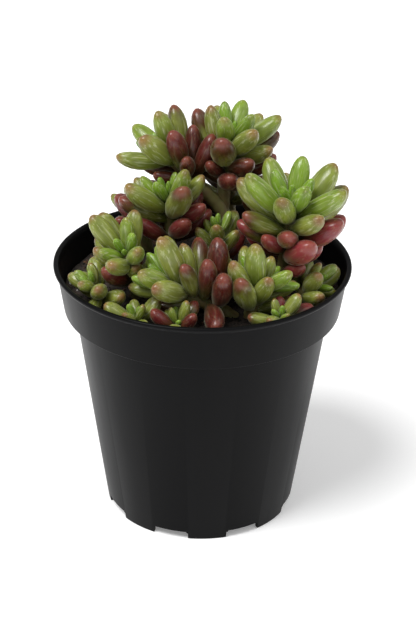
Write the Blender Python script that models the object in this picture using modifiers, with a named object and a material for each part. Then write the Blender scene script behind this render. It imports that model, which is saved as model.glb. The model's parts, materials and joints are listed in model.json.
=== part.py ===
"""A jelly bean plant in a black plastic nursery pot.

Fat, bean-shaped leaves sit in a spiral round each stem, bright green and small at
the growing point, long and pale below it, and short, thick and red where they are
old. Several such shoots stand in plain holes in the potting mix.

Metres, +Z up. The origin is the middle of the pot's foot, and -Y is the front.
"""

import math
from dataclasses import dataclass, fields

import bmesh
import bpy
import numpy as np
from mathutils import Matrix, Vector

# Pot: a 105 mm round nursery pot
POT_HEIGHT = 0.095
RIM_RADIUS = 0.0525
LIP_HEIGHT = 0.0016
BAND_TOP_RADIUS = 0.0513
BAND_FOOT_RADIUS = 0.0490
BAND_HEIGHT = 0.0170
BODY_TOP_RADIUS = 0.0452
FOOT_RADIUS = 0.0342
WALL = 0.0011
LIP_WIDTH = 1.6 * WALL
LIP_FALL = 0.3 * WALL
LIP_SLOPE = 0.4 * WALL
LIP_EDGE_WIDTH = 0.3 * WALL
LIP_EDGE_HEIGHT = 0.6 * WALL
SHOULDER_HEIGHT = 1.4 * WALL
SHOULDER_FALL = 0.3 * WALL
FOOT_RING_WIDTH = 1.6 * WALL
FOOT_EDGE = 0.0003
FLOOR_UNDERSIDE = 0.0034
FLOOR_THICKNESS = 0.0014
POT_STEPS = 36
MERGED_WITHIN = 0.00001

# Foot: eight notches between eight feet, with a drain hole behind each notch
NOTCHES = 8
NOTCH_WIDTH = 0.0130
NOTCH_HEIGHT = 0.0030
FIRST_NOTCH_DEG = -62.4
DRAIN_RADIUS = 0.0030
DRAIN_RING_RADIUS = 0.0245
DRAIN_SIDES = 8
CUTTER_REACH = 3.0

# Potting mix
SOIL_EDGE_Z = 0.0850
SOIL_CROWN = 0.0022
SOIL_PLACES = (0.0, 0.45, 0.80, 1.0)
SOIL_SHARES = (1.0, 0.8, 0.3, 0.0)
SOIL_STEPS = 20
CLEARANCE = 0.0004

# Shoots
ROOT_DEPTH = 0.0180
STEM_RADIUS_TIP = 0.0014
STEM_RADIUS_OLD = 0.0024
STEM_THICKENS_OVER = 0.012
STEM_POINTS = 6
STEM_PULL = 0.35
WALK_STEPS = 61
STEM_END = 0.0008
STEM_BEVEL_RESOLUTION = 1
WELDED_WITHIN = 0.000001

# Leaves
GOLDEN_ANGLE = math.radians(137.508)
YOUNGEST_SHARE = 0.34
GROWN_AT = 6
SLIMNESS_YOUNG = 0.34
SLIMNESS_OLD = 0.42
THICKNESS_SHARE = 0.88
CURL = 0.10
FIRST_SPLAY_DEG = 5.0
SPLAY_POWER = 0.6
STRETCH = 0.3
TURN_JITTER_DEG = 6.0
SPLAY_JITTER_DEG = 5.0
LENGTH_JITTER = 0.07
FULLNESS_AT_BASE = 0.66
FULLNESS_GAINED = 0.60
FACET_GAIN = 1.07
LEAF_RINGS = 4
LEAF_SIDES = 6
SHORT_LEAF = 0.0195
SHORT_LEAF_SIDES = 5
YOUNG_LEAF = 0.0190
YOUNG_LEAF_RINGS = 3

# Where leaves press on each other, each leaf and each stem is taken as a row of balls on its midline
TINY = 1e-9
BALL_PLACES = np.array([0.25, 0.45, 0.65, 0.85])
STEM_BALLS_FROM = 0.004
STEM_BALL_STEP = 0.002
STEM_BALLS_UNDER_SOIL = 0.004
SETTLE_ROUNDS = 70
SETTLE_PUSH = 1.05
SETTLE_RETURN = 0.015
SAME_SHOOT_SHARE = 0.74
SAME_NODE_SHARE = 0.86
SHOOT_GAP = 0.0009
WALL_GAP = 0.0010

# Then its whole length is tried, and a leaf nearer than the least gap to anything else shrinks
TRIED_PLACES = np.linspace(0.05, 0.95, 10)
LEAST_GAP = 0.0002
SHRINKS = 12
SHRINK = 0.96
SHRINK_SETTLE_ROUNDS = 12

# Plain materials: name, linear colour and roughness
BLACK_PLASTIC = ("black_plastic", (0.012, 0.012, 0.013), 0.38)
POTTING_MIX = ("potting_mix", (0.018, 0.013, 0.010), 0.95)
LEAF_FLESH = ("leaf_flesh", (0.235, 0.335, 0.105), 0.35)

# Edges sharper than this stay sharp in shading
POT_SHARP_FROM_DEG = 30.0
SOIL_SHARP_FROM_DEG = 40.0
LEAF_SHARP_FROM_DEG = 180.0


@dataclass(frozen=True)
class Shoot:
    """One leafy stem, given by its growing point, where it is rooted and how its leaves are set."""

    name: str
    tip: tuple[float, float, float]
    root: tuple[float, float]
    lean_to_deg: float
    lean_deg: float
    leaves: int
    turn_deg: float
    leaf_length: float
    splay_deg: float
    spacing: float
    lift: float
    hand: int = 1
    plump: float = 1.0
    seed: int = 1
    root_z: float = SOIL_EDGE_Z - ROOT_DEPTH


SHOOTS = (
    Shoot(
        "shoot_back",
        tip=(0.009, 0.0185, 0.1330),
        root=(0.008, 0.012),
        lean_to_deg=0,
        lean_deg=10,
        leaves=27,
        turn_deg=120,
        leaf_length=0.022,
        splay_deg=92,
        spacing=0.00055,
        lift=0.5,
        seed=7,
    ),
    Shoot(
        "shoot_back",
        tip=(-0.0135, 0.0175, 0.1285),
        root=(0.008, 0.013),
        lean_to_deg=165,
        lean_deg=34,
        leaves=22,
        turn_deg=-80,
        hand=-1,
        leaf_length=0.02,
        splay_deg=88,
        spacing=0.00055,
        lift=0.5,
        seed=8,
        root_z=0.101,
    ),
    Shoot(
        "shoot_left",
        tip=(-0.0125, 0.006, 0.1155),
        root=(-0.014, 0.003),
        lean_to_deg=-150,
        lean_deg=12,
        leaves=22,
        turn_deg=140,
        leaf_length=0.0225,
        splay_deg=98,
        spacing=0.0006,
        lift=0.75,
        seed=2,
    ),
    Shoot(
        "shoot_right",
        tip=(0.0300, -0.01, 0.1205),
        root=(0.026, -0.009),
        lean_to_deg=-80,
        lean_deg=8,
        leaves=33,
        turn_deg=180,
        leaf_length=0.0240,
        splay_deg=114,
        spacing=0.00065,
        lift=0.35,
        seed=2,
    ),
    Shoot(
        "shoot_front_left",
        tip=(-0.0262, -0.0165, 0.1045),
        root=(-0.021, -0.013),
        lean_to_deg=-105,
        lean_deg=45,
        leaves=18,
        turn_deg=20,
        hand=-1,
        leaf_length=0.02,
        splay_deg=100,
        spacing=0.0007,
        lift=0.65,
        seed=8,
    ),
    Shoot(
        "shoot_front",
        tip=(0.0205, -0.0235, 0.0985),
        root=(0.0140, -0.024),
        lean_to_deg=30,
        lean_deg=25,
        leaves=26,
        turn_deg=-90,
        leaf_length=0.022,
        splay_deg=102,
        spacing=0.0006,
        lift=0.75,
        seed=7,
    ),
    Shoot(
        "shoot_front",
        tip=(-0.0125, -0.0255, 0.0990),
        root=(0.0140, -0.024),
        lean_to_deg=165,
        lean_deg=50,
        leaves=24,
        turn_deg=10,
        leaf_length=0.0220,
        splay_deg=97,
        spacing=0.0007,
        lift=0.5,
        seed=8,
        root_z=0.077,
    ),
    Shoot(
        "shoot_rear",
        tip=(0.0100, 0.0320, 0.1120),
        root=(0.006, 0.028),
        lean_to_deg=90,
        lean_deg=20,
        leaves=10,
        turn_deg=0,
        leaf_length=0.018,
        splay_deg=95,
        spacing=0.001,
        lift=0.5,
        plump=1.1,
    ),
    Shoot(
        "shoot_rear_right",
        tip=(0.028, 0.025, 0.109),
        root=(0.023, 0.021),
        lean_to_deg=60,
        lean_deg=25,
        leaves=8,
        turn_deg=40,
        leaf_length=0.0175,
        splay_deg=95,
        spacing=0.001,
        lift=0.45,
    ),
    Shoot(
        "shoot_rear_left",
        tip=(-0.023, 0.031, 0.104),
        root=(-0.02, 0.028),
        lean_to_deg=110,
        lean_deg=25,
        leaves=8,
        turn_deg=10,
        hand=-1,
        leaf_length=0.0165,
        splay_deg=90,
        spacing=0.001,
        lift=0.4,
    ),
    Shoot(
        "offset_left",
        tip=(-0.038, -0.021, 0.095),
        root=(-0.034, -0.017),
        lean_to_deg=-160,
        lean_deg=45,
        leaves=11,
        turn_deg=0,
        leaf_length=0.0155,
        splay_deg=86,
        spacing=0.0006,
        lift=0.35,
        plump=1.2,
        seed=7,
    ),
    Shoot(
        "offset_right",
        tip=(0.038, -0.015, 0.0935),
        root=(0.034, -0.013),
        lean_to_deg=-20,
        lean_deg=50,
        leaves=10,
        turn_deg=180,
        leaf_length=0.0205,
        splay_deg=95,
        spacing=0.0006,
        lift=0.4,
        plump=1.1,
        seed=2,
    ),
    Shoot(
        "offset_front_left",
        tip=(-0.008, -0.0375, 0.089),
        root=(-0.008, -0.037),
        lean_to_deg=-90,
        lean_deg=5,
        leaves=9,
        turn_deg=30,
        leaf_length=0.0140,
        splay_deg=75,
        spacing=0.00025,
        lift=0.6,
        plump=1.2,
    ),
    Shoot(
        "offset_front_edge",
        tip=(-0.0225, -0.035, 0.089),
        root=(-0.0205, -0.032),
        lean_to_deg=200,
        lean_deg=20,
        leaves=8,
        turn_deg=80,
        hand=-1,
        leaf_length=0.0140,
        splay_deg=75,
        spacing=0.00025,
        lift=0.6,
        plump=1.2,
    ),
    Shoot(
        "offset_front_right",
        tip=(0.0265, -0.0345, 0.0905),
        root=(0.0235, -0.0305),
        lean_to_deg=-40,
        lean_deg=10,
        leaves=9,
        turn_deg=120,
        leaf_length=0.0148,
        splay_deg=75,
        spacing=0.00025,
        lift=0.6,
        plump=1.2,
    ),
    Shoot(
        "offset_middle",
        tip=(0.0055, 0.001, 0.1060),
        root=(0.004, -0.001),
        lean_to_deg=90,
        lean_deg=8,
        leaves=11,
        turn_deg=0,
        leaf_length=0.0175,
        splay_deg=80,
        spacing=0.001,
        lift=0.4,
        plump=1.1,
    ),
)
NODES = tuple(dict.fromkeys(shoot.name for shoot in SHOOTS))
NODE_OF = np.array([NODES.index(shoot.name) for shoot in SHOOTS])


@dataclass
class Leaves:
    """The leaves of all shoots, one row each, before and after they settle."""

    base: np.ndarray
    way: np.ndarray
    inner: np.ndarray
    length: np.ndarray
    girth: np.ndarray
    age: np.ndarray
    shoot: np.ndarray

    def only(self, keep: np.ndarray) -> "Leaves":
        """The leaves marked to be kept."""
        return Leaves(*(getattr(self, column.name)[keep] for column in fields(self)))


def unit(vectors: np.ndarray) -> np.ndarray:
    """Scale each row to length one."""
    return vectors / np.linalg.norm(vectors, axis=-1, keepdims=True)


def inner_radius(height: np.ndarray) -> np.ndarray:
    """Radius of the pot's inner wall at a height."""
    step = POT_HEIGHT - BAND_HEIGHT
    body = FOOT_RADIUS + (BODY_TOP_RADIUS - FOOT_RADIUS) * height / step
    band = BAND_FOOT_RADIUS + (BAND_TOP_RADIUS - BAND_FOOT_RADIUS) * (height - step) / BAND_HEIGHT
    return np.where(height < step, body, band) - WALL


def stem_walk(shoot: Shoot) -> tuple[np.ndarray, np.ndarray, np.ndarray]:
    """A fine walk down the stem: distances below the tip, points, and upward directions.

    The stem leaves its tip along its lean and stands upright where it is rooted.
    """
    lean_to = math.radians(shoot.lean_to_deg)
    lean = math.radians(shoot.lean_deg)
    axis = np.array(
        [math.sin(lean) * math.cos(lean_to), math.sin(lean) * math.sin(lean_to), math.cos(lean)]
    )
    tip = np.array(shoot.tip)
    root = np.array([*shoot.root, shoot.root_z])
    pull = STEM_PULL * np.linalg.norm(tip - root)
    above_root = root + np.array([0.0, 0.0, pull])
    t = np.linspace(0.0, 1.0, WALK_STEPS)[:, None]
    points = (1 - t) ** 3 * tip + 3 * (1 - t) ** 2 * t * (tip - axis * pull)
    points = points + 3 * (1 - t) * t**2 * above_root + t**3 * root
    depths = np.concatenate([[0.0], np.cumsum(np.linalg.norm(np.diff(points, axis=0), axis=1))])
    return depths, points, unit(-np.gradient(points, depths, axis=0))


def stem_path(shoot: Shoot, depths: np.ndarray) -> tuple[np.ndarray, np.ndarray]:
    """Points and upward directions of the stem at distances below its tip."""
    walked, points, axes = stem_walk(shoot)
    at = np.stack([np.interp(depths, walked, points[:, axis]) for axis in range(3)], axis=1)
    up = np.stack([np.interp(depths, walked, axes[:, axis]) for axis in range(3)], axis=1)
    return at, unit(up)


def spring_leaves(index: int) -> Leaves:
    """The leaves of one shoot on their spiral, before they press on each other."""
    shoot = SHOOTS[index]
    rank = np.arange(shoot.leaves)
    age = rank / (shoot.leaves - 1)
    base, axes = stem_path(shoot, shoot.spacing * rank * (1.0 + STRETCH * age))
    jitter = np.random.default_rng(shoot.seed).normal(size=(shoot.leaves, 3))
    turn = math.radians(shoot.turn_deg) + shoot.hand * rank * GOLDEN_ANGLE
    turn = turn + math.radians(TURN_JITTER_DEG) * jitter[:, 0]
    splay = np.radians(FIRST_SPLAY_DEG + (shoot.splay_deg - FIRST_SPLAY_DEG) * age**SPLAY_POWER)
    splay = splay + math.radians(SPLAY_JITTER_DEG) * jitter[:, 1] * age
    lean_to = math.radians(shoot.lean_to_deg)
    side = unit(np.cross(axes, np.array([math.cos(lean_to), math.sin(lean_to), 0.0])))
    ahead = np.cross(side, axes)
    outward = np.cos(turn)[:, None] * ahead + np.sin(turn)[:, None] * side
    way = np.sin(splay)[:, None] * outward + np.cos(splay)[:, None] * axes
    way = unit(way + np.outer(shoot.lift * age, [0.0, 0.0, 1.0]))
    grown = np.minimum(1.0, YOUNGEST_SHARE + (1.0 - YOUNGEST_SHARE) * rank / GROWN_AT)
    length = shoot.leaf_length * grown * (1.0 + LENGTH_JITTER * jitter[:, 2])
    girth = shoot.plump * length * (SLIMNESS_YOUNG + (SLIMNESS_OLD - SLIMNESS_YOUNG) * age)
    return Leaves(base, way, axes, length, girth, age, np.full(shoot.leaves, index))


def fullness(along: np.ndarray) -> np.ndarray:
    """How much fuller or slimmer than a plain ellipsoid a leaf is along its length."""
    return (FULLNESS_AT_BASE + FULLNESS_GAINED * along) * FACET_GAIN


def leaf_balls(leaves: Leaves, places: np.ndarray) -> tuple[np.ndarray, np.ndarray]:
    """Centres and radii of the balls that fill each leaf at places along its midline."""
    inner = unit(leaves.inner - (leaves.inner * leaves.way).sum(1)[:, None] * leaves.way)
    reach = leaves.length[:, None, None]
    centres = leaves.base[:, None] + leaves.way[:, None] * places[None, :, None] * reach
    centres = centres + inner[:, None] * CURL * (places**2)[None, :, None] * reach
    shares = fullness(places) * np.sqrt(places * (1.0 - places))
    return centres, leaves.girth[:, None] * shares[None]


def stem_balls() -> tuple[np.ndarray, np.ndarray]:
    """Centres of balls along every stem above the soil, and the node of each."""
    centres = []
    owners = []
    for shoot in SHOOTS:
        depths = np.arange(STEM_BALLS_FROM, stem_walk(shoot)[0][-1], STEM_BALL_STEP)
        points = stem_path(shoot, depths)[0]
        points = points[points[:, 2] > SOIL_EDGE_Z - STEM_BALLS_UNDER_SOIL]
        centres.append(points)
        owners.append(np.full(len(points), NODES.index(shoot.name)))
    return np.concatenate(centres), np.concatenate(owners)


def near_pairs(leaves: Leaves) -> tuple[np.ndarray, np.ndarray]:
    """Pairs of leaves near enough that they could ever touch."""
    middle = leaves.base + leaves.way * leaves.length[:, None] * 0.5
    apart = np.linalg.norm(middle[:, None] - middle[None], axis=2)
    reach = leaves.length[:, None] + leaves.length[None]
    return np.nonzero(np.triu(apart < reach, 1))


def pair_overlap(
    leaves: Leaves,
    balls: tuple[np.ndarray, np.ndarray],
    pairs: tuple[np.ndarray, np.ndarray],
    gap: float,
) -> tuple[np.ndarray, np.ndarray, np.ndarray]:
    """How far each ball of one leaf is into each of the other, the way out, and which share a node."""
    centres, radii = balls
    one, other = pairs
    fused = NODE_OF[leaves.shoot[one]] == NODE_OF[leaves.shoot[other]]
    same = leaves.shoot[one] == leaves.shoot[other]
    share = np.where(same, SAME_SHOOT_SHARE, np.where(fused, SAME_NODE_SHARE, 1.0))
    apart = centres[one][:, :, None] - centres[other][:, None]
    distance = np.sqrt((apart**2).sum(3)) + TINY
    wanted = radii[one][:, :, None] + radii[other][:, None]
    wanted = wanted * share[:, None, None] + np.where(fused, 0.0, gap)[:, None, None]
    return np.maximum(0.0, wanted - distance), apart / distance[..., None], fused


def pair_push(
    leaves: Leaves, balls: tuple[np.ndarray, np.ndarray], pairs: tuple[np.ndarray, np.ndarray]
) -> np.ndarray:
    """How far each ball is pushed by the other leaves."""
    overlap, direction, _ = pair_overlap(leaves, balls, pairs, SHOOT_GAP)
    shove = direction * overlap[..., None] * 0.5
    push = np.zeros_like(balls[0])
    np.add.at(push, pairs[0], shove.sum(2))
    np.add.at(push, pairs[1], -shove.sum(1))
    return push


def soil_height(out: np.ndarray) -> np.ndarray:
    """Height of the potting mix at a distance from the pot's axis."""
    edge = float(inner_radius(np.array(SOIL_EDGE_Z)))
    return SOIL_EDGE_Z + SOIL_CROWN * np.interp(out / edge, SOIL_PLACES, SOIL_SHARES)


def surroundings_push(
    leaves: Leaves,
    balls: tuple[np.ndarray, np.ndarray],
    stems: tuple[np.ndarray, np.ndarray],
    gap: float,
) -> np.ndarray:
    """How far each ball is pushed by other shoots' stems, the soil, the pot's wall and its rim."""
    centres, radii = balls
    apart = centres[:, :, None] - stems[0][None, None]
    distance = np.sqrt((apart**2).sum(3)) + TINY
    wanted = radii[:, :, None] + STEM_RADIUS_OLD + gap
    strange = NODE_OF[leaves.shoot][:, None, None] != stems[1][None, None]
    overlap = np.maximum(0.0, wanted - distance) * strange
    nearest = overlap.argmax(2)[..., None]
    direction = np.take_along_axis(apart / distance[..., None], nearest[..., None], 2)[:, :, 0]
    push = direction * np.take_along_axis(overlap, nearest, 2)

    out = np.sqrt(centres[..., 0] ** 2 + centres[..., 1] ** 2) + TINY
    height = centres[..., 2]
    outward = np.stack([centres[..., 0] / out, centres[..., 1] / out, np.zeros_like(out)], axis=-1)
    up = np.array([0.0, 0.0, 1.0])

    push = push + np.maximum(0.0, soil_height(out) + gap + radii - height)[..., None] * up

    below_rim = height < POT_HEIGHT
    past_wall = np.maximum(0.0, out + radii + gap - inner_radius(height)) * below_rim
    push = push - past_wall[..., None] * outward

    rim_out = out - (RIM_RADIUS - WALL)
    rim_up = height - POT_HEIGHT
    rim_distance = np.sqrt(rim_out**2 + rim_up**2) + TINY
    near_rim = np.maximum(0.0, radii + WALL + gap - rim_distance) * ~below_rim
    away = outward * (rim_out / rim_distance)[..., None] + up * (rim_up / rim_distance)[..., None]
    return push + away * near_rim[..., None]


def settle(leaves: Leaves, wanted: np.ndarray, rounds: int) -> None:
    """Turn each leaf about its base until it lies beside its neighbours."""
    lever = (BALL_PLACES[None] * leaves.length[:, None])[..., None]
    pairs = near_pairs(leaves)
    stems = stem_balls()
    for _ in range(rounds):
        balls = leaf_balls(leaves, BALL_PLACES)
        push = pair_push(leaves, balls, pairs) + surroundings_push(leaves, balls, stems, WALL_GAP)
        turn = (push / lever).mean(1)
        leaves.way = unit(leaves.way + SETTLE_PUSH * turn + SETTLE_RETURN * (wanted - leaves.way))


def crowded(leaves: Leaves) -> tuple[np.ndarray, np.ndarray]:
    """Which leaves run into the pot, the soil or a stem, and pairs from two shoots that clash."""
    balls = leaf_balls(leaves, TRIED_PLACES)
    push = surroundings_push(leaves, balls, stem_balls(), LEAST_GAP)
    stuck = np.linalg.norm(push, axis=2).max(1) > TINY
    pairs = near_pairs(leaves)
    overlap, _, fused = pair_overlap(leaves, balls, pairs, LEAST_GAP)
    clash = (overlap.max((1, 2)) > 0.0) & ~fused
    return stuck, np.stack(pairs, axis=1)[clash]


def fitted(leaves: Leaves) -> Leaves:
    """Settle the leaves, shrink those without room, and drop the few that still have none."""
    wanted = leaves.way.copy()
    settle(leaves, wanted, SETTLE_ROUNDS)
    for _ in range(SHRINKS):
        stuck, pairs = crowded(leaves)
        stuck[pairs.ravel()] = True
        leaves.length = np.where(stuck, SHRINK, 1.0) * leaves.length
        leaves.girth = np.where(stuck, SHRINK, 1.0) * leaves.girth
        settle(leaves, wanted, SHRINK_SETTLE_ROUNDS)
    stuck, pairs = crowded(leaves)
    for one, other in pairs:
        if not stuck[one] and not stuck[other]:
            stuck[one if leaves.age[one] >= leaves.age[other] else other] = True
    return leaves.only(~stuck)


def all_leaves() -> Leaves:
    """Every leaf of the plant, settled."""
    grown = [spring_leaves(index) for index in range(len(SHOOTS))]
    columns = [[getattr(leaves, column.name) for leaves in grown] for column in fields(Leaves)]
    return fitted(Leaves(*(np.concatenate(column) for column in columns)))


def clear_scene() -> None:
    """Remove whatever the file holds."""
    for thing in list(bpy.data.objects):
        bpy.data.objects.remove(thing, do_unlink=True)


def collection(name: str, hidden: bool = False) -> bpy.types.Collection:
    """A new collection in the scene."""
    made = bpy.data.collections.new(name)
    made.hide_render = hidden
    bpy.context.scene.collection.children.link(made)
    return made


def material(name: str, color: tuple[float, float, float], roughness: float) -> bpy.types.Material:
    """A plain Principled material in linear RGB."""
    made = bpy.data.materials.new(name)
    made.use_nodes = True
    made.diffuse_color = (*color, 1.0)
    shader = made.node_tree.nodes["Principled BSDF"]
    shader.inputs["Base Color"].default_value = (*color, 1.0)
    shader.inputs["Roughness"].default_value = roughness
    return made


def add_object(name: str, mesh: bpy.types.Mesh, home: bpy.types.Collection) -> bpy.types.Object:
    """A mesh object in a collection."""
    made = bpy.data.objects.new(name, mesh)
    home.objects.link(made)
    return made


def apply_modifiers(thing: bpy.types.Object) -> None:
    """Replace the object's mesh with what its modifiers make of it."""
    bpy.context.view_layer.update()
    graph = bpy.context.evaluated_depsgraph_get()
    mesh = bpy.data.meshes.new_from_object(thing.evaluated_get(graph), depsgraph=graph)
    thing.modifiers.clear()
    thing.data = mesh


def turned(
    name: str, profile: list[tuple[float, float]], steps: int, home: bpy.types.Collection
) -> bpy.types.Object:
    """A solid turned about Z from a profile of (radius, height) that starts and ends on the axis."""
    mesh = bpy.data.meshes.new(name)
    points = [(radius, 0.0, height) for radius, height in profile]
    edges = [(at, at + 1) for at in range(len(points) - 1)]
    mesh.from_pydata(points, edges, [])
    made = add_object(name, mesh, home)
    screw = made.modifiers.new("Turn", "SCREW")
    screw.angle = math.tau
    screw.steps = steps
    screw.render_steps = steps
    screw.use_merge_vertices = True
    screw.merge_threshold = MERGED_WITHIN
    screw.use_smooth_shade = True
    apply_modifiers(made)
    return made


def bar(
    name: str, size: tuple[float, float, float], place: Matrix, home: bpy.types.Collection
) -> bpy.types.Object:
    """A box cutter of a size, at a place."""
    mesh = bpy.data.meshes.new(name)
    shape = bmesh.new()
    bmesh.ops.create_cube(shape, size=1.0, matrix=place @ Matrix.Diagonal((*size, 1.0)))
    shape.to_mesh(mesh)
    shape.free()
    made = add_object(name, mesh, home)
    made.display_type = "WIRE"
    return made


def drill(
    name: str, radius: float, depth: float, centre: Vector, sides: int, home: bpy.types.Collection
) -> bpy.types.Object:
    """An upright round cutter."""
    mesh = bpy.data.meshes.new(name)
    shape = bmesh.new()
    bmesh.ops.create_cone(
        shape,
        cap_ends=True,
        segments=sides,
        radius1=radius,
        radius2=radius,
        depth=depth,
        matrix=Matrix.Translation(centre),
    )
    shape.to_mesh(mesh)
    shape.free()
    made = add_object(name, mesh, home)
    made.display_type = "WIRE"
    return made


def boolean(
    thing: bpy.types.Object, others: bpy.types.Collection, operation: str, solver: str = "EXACT"
) -> None:
    """Cut a collection away from an object, or join it on, and remove the collection's objects."""
    step = thing.modifiers.new(operation.title(), "BOOLEAN")
    step.operation = operation
    step.operand_type = "COLLECTION"
    step.collection = others
    step.solver = solver
    apply_modifiers(thing)
    for other in list(others.objects):
        bpy.data.objects.remove(other, do_unlink=True)


def keep_outer_body(thing: bpy.types.Object) -> None:
    """Drop loose scraps, and the inner walls of hollows that the joining has sealed."""
    shape = bmesh.new()
    shape.from_mesh(thing.data)
    unseen = set(shape.faces)
    bodies = []
    while unseen:
        edge_of_body = [unseen.pop()]
        body = list(edge_of_body)
        while edge_of_body:
            face = edge_of_body.pop()
            for edge in face.edges:
                for neighbour in edge.link_faces:
                    if neighbour in unseen:
                        unseen.remove(neighbour)
                        edge_of_body.append(neighbour)
                        body.append(neighbour)
        bodies.append(body)
    bodies.sort(key=len)
    for body in bodies[:-1]:
        bmesh.ops.delete(shape, geom=body, context="FACES")
    shape.to_mesh(thing.data)
    shape.free()


def finish(thing: bpy.types.Object, dress: bpy.types.Material, sharp_from_deg: float) -> None:
    """Give the object its material, and shade it smooth but for its edges sharper than an angle."""
    thing.data.materials.clear()
    thing.data.materials.append(dress)
    thing.data.shade_smooth()
    thing.data.set_sharp_from_angle(angle=math.radians(sharp_from_deg))


def pot_profile() -> list[tuple[float, float]]:
    """Half section of the pot, from the middle of its floor up the inside and down the outside."""
    step = POT_HEIGHT - BAND_HEIGHT
    taper = (BODY_TOP_RADIUS - FOOT_RADIUS) / step
    floor_top = FLOOR_UNDERSIDE + FLOOR_THICKNESS
    foot_inside = FOOT_RADIUS - FOOT_RING_WIDTH
    return [
        (0.0, floor_top),
        (FOOT_RADIUS + taper * floor_top - WALL, floor_top),
        (BODY_TOP_RADIUS - WALL, step + WALL),
        (BAND_FOOT_RADIUS - WALL, step + SHOULDER_HEIGHT),
        (BAND_TOP_RADIUS - WALL, POT_HEIGHT - LIP_HEIGHT),
        (RIM_RADIUS - LIP_WIDTH, POT_HEIGHT - LIP_FALL),
        (RIM_RADIUS - LIP_WIDTH + LIP_SLOPE, POT_HEIGHT),
        (RIM_RADIUS - LIP_EDGE_WIDTH, POT_HEIGHT),
        (RIM_RADIUS, POT_HEIGHT - LIP_EDGE_HEIGHT),
        (BAND_TOP_RADIUS, POT_HEIGHT - LIP_HEIGHT),
        (BAND_FOOT_RADIUS, step),
        (BODY_TOP_RADIUS, step - SHOULDER_FALL),
        (FOOT_RADIUS, FOOT_EDGE),
        (FOOT_RADIUS - FOOT_EDGE, 0.0),
        (foot_inside, 0.0),
        (foot_inside, FLOOR_UNDERSIDE),
        (0.0, FLOOR_UNDERSIDE),
    ]


def make_pot(home: bpy.types.Collection, cutters: bpy.types.Collection) -> bpy.types.Object:
    """The nursery pot: a tapered cup with a stepped band under its lip, and a notched foot."""
    pot = turned("pot", pot_profile(), POT_STEPS, home)
    for at in range(NOTCHES // 2):
        turn = math.radians(FIRST_NOTCH_DEG + 360.0 / NOTCHES * at)
        place = Matrix.Rotation(turn, 4, "Z") @ Matrix.Translation((0.0, 0.0, -NOTCH_HEIGHT / 2))
        size = (CUTTER_REACH * FOOT_RADIUS, NOTCH_WIDTH, CUTTER_REACH * NOTCH_HEIGHT)
        bar("notch", size, place, cutters)
    for at in range(NOTCHES):
        turn = math.radians(FIRST_NOTCH_DEG + 360.0 / NOTCHES * at)
        centre = Vector((DRAIN_RING_RADIUS * math.cos(turn), DRAIN_RING_RADIUS * math.sin(turn), 0.0))
        centre.z = FLOOR_UNDERSIDE + FLOOR_THICKNESS / 2
        drill("drain", DRAIN_RADIUS, CUTTER_REACH * FLOOR_THICKNESS, centre, DRAIN_SIDES, cutters)
    boolean(pot, cutters, "DIFFERENCE")
    return pot


def soil_profile() -> list[tuple[float, float]]:
    """Half section of the potting mix, clear of the pot all round."""
    step = POT_HEIGHT - BAND_HEIGHT
    taper = (BODY_TOP_RADIUS - FOOT_RADIUS) / step
    bottom = FLOOR_UNDERSIDE + FLOOR_THICKNESS + CLEARANCE
    shoulder = step + SHOULDER_HEIGHT + CLEARANCE
    edge = float(inner_radius(np.array(SOIL_EDGE_Z))) - CLEARANCE
    surface = zip(SOIL_PLACES, SOIL_SHARES)
    return [
        *((place * edge, SOIL_EDGE_Z + share * SOIL_CROWN) for place, share in surface),
        (float(inner_radius(np.array(shoulder))) - CLEARANCE, shoulder),
        (BODY_TOP_RADIUS - WALL - CLEARANCE, step + WALL),
        (FOOT_RADIUS + taper * bottom - WALL - CLEARANCE, bottom),
        (0.0, bottom),
    ]


def make_stem(
    name: str, shoot: Shoot, extra: float, home: bpy.types.Collection
) -> bpy.types.Object:
    """A shoot's stem as a tapered tube, or the cutter of its hole, wider and deeper by the extra."""
    depths = np.linspace(0.0, stem_walk(shoot)[0][-1] - STEM_END, STEM_POINTS)
    points = stem_path(shoot, depths)[0]
    points[-1, 2] -= extra
    grown = np.clip(depths / STEM_THICKENS_OVER, 0.0, 1.0)
    radii = STEM_RADIUS_TIP + (STEM_RADIUS_OLD - STEM_RADIUS_TIP) * grown + extra
    curve = bpy.data.curves.new(name, "CURVE")
    curve.dimensions = "3D"
    curve.bevel_depth = 1.0
    curve.bevel_resolution = STEM_BEVEL_RESOLUTION
    curve.use_fill_caps = True
    line = curve.splines.new("POLY")
    line.points.add(STEM_POINTS - 1)
    for point, at, radius in zip(line.points, points, radii):
        point.co = (*at, 1.0)
        point.radius = float(radius)
    made = bpy.data.objects.new(name, curve)
    home.objects.link(made)
    bpy.context.view_layer.update()
    graph = bpy.context.evaluated_depsgraph_get()
    mesh = bpy.data.meshes.new_from_object(made.evaluated_get(graph), depsgraph=graph)
    bpy.data.objects.remove(made, do_unlink=True)
    shape = bmesh.new()
    shape.from_mesh(mesh)
    bmesh.ops.remove_doubles(shape, verts=shape.verts, dist=WELDED_WITHIN)
    bmesh.ops.recalc_face_normals(shape, faces=shape.faces)
    shape.to_mesh(mesh)
    shape.free()
    return add_object(name, mesh, home)


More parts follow.
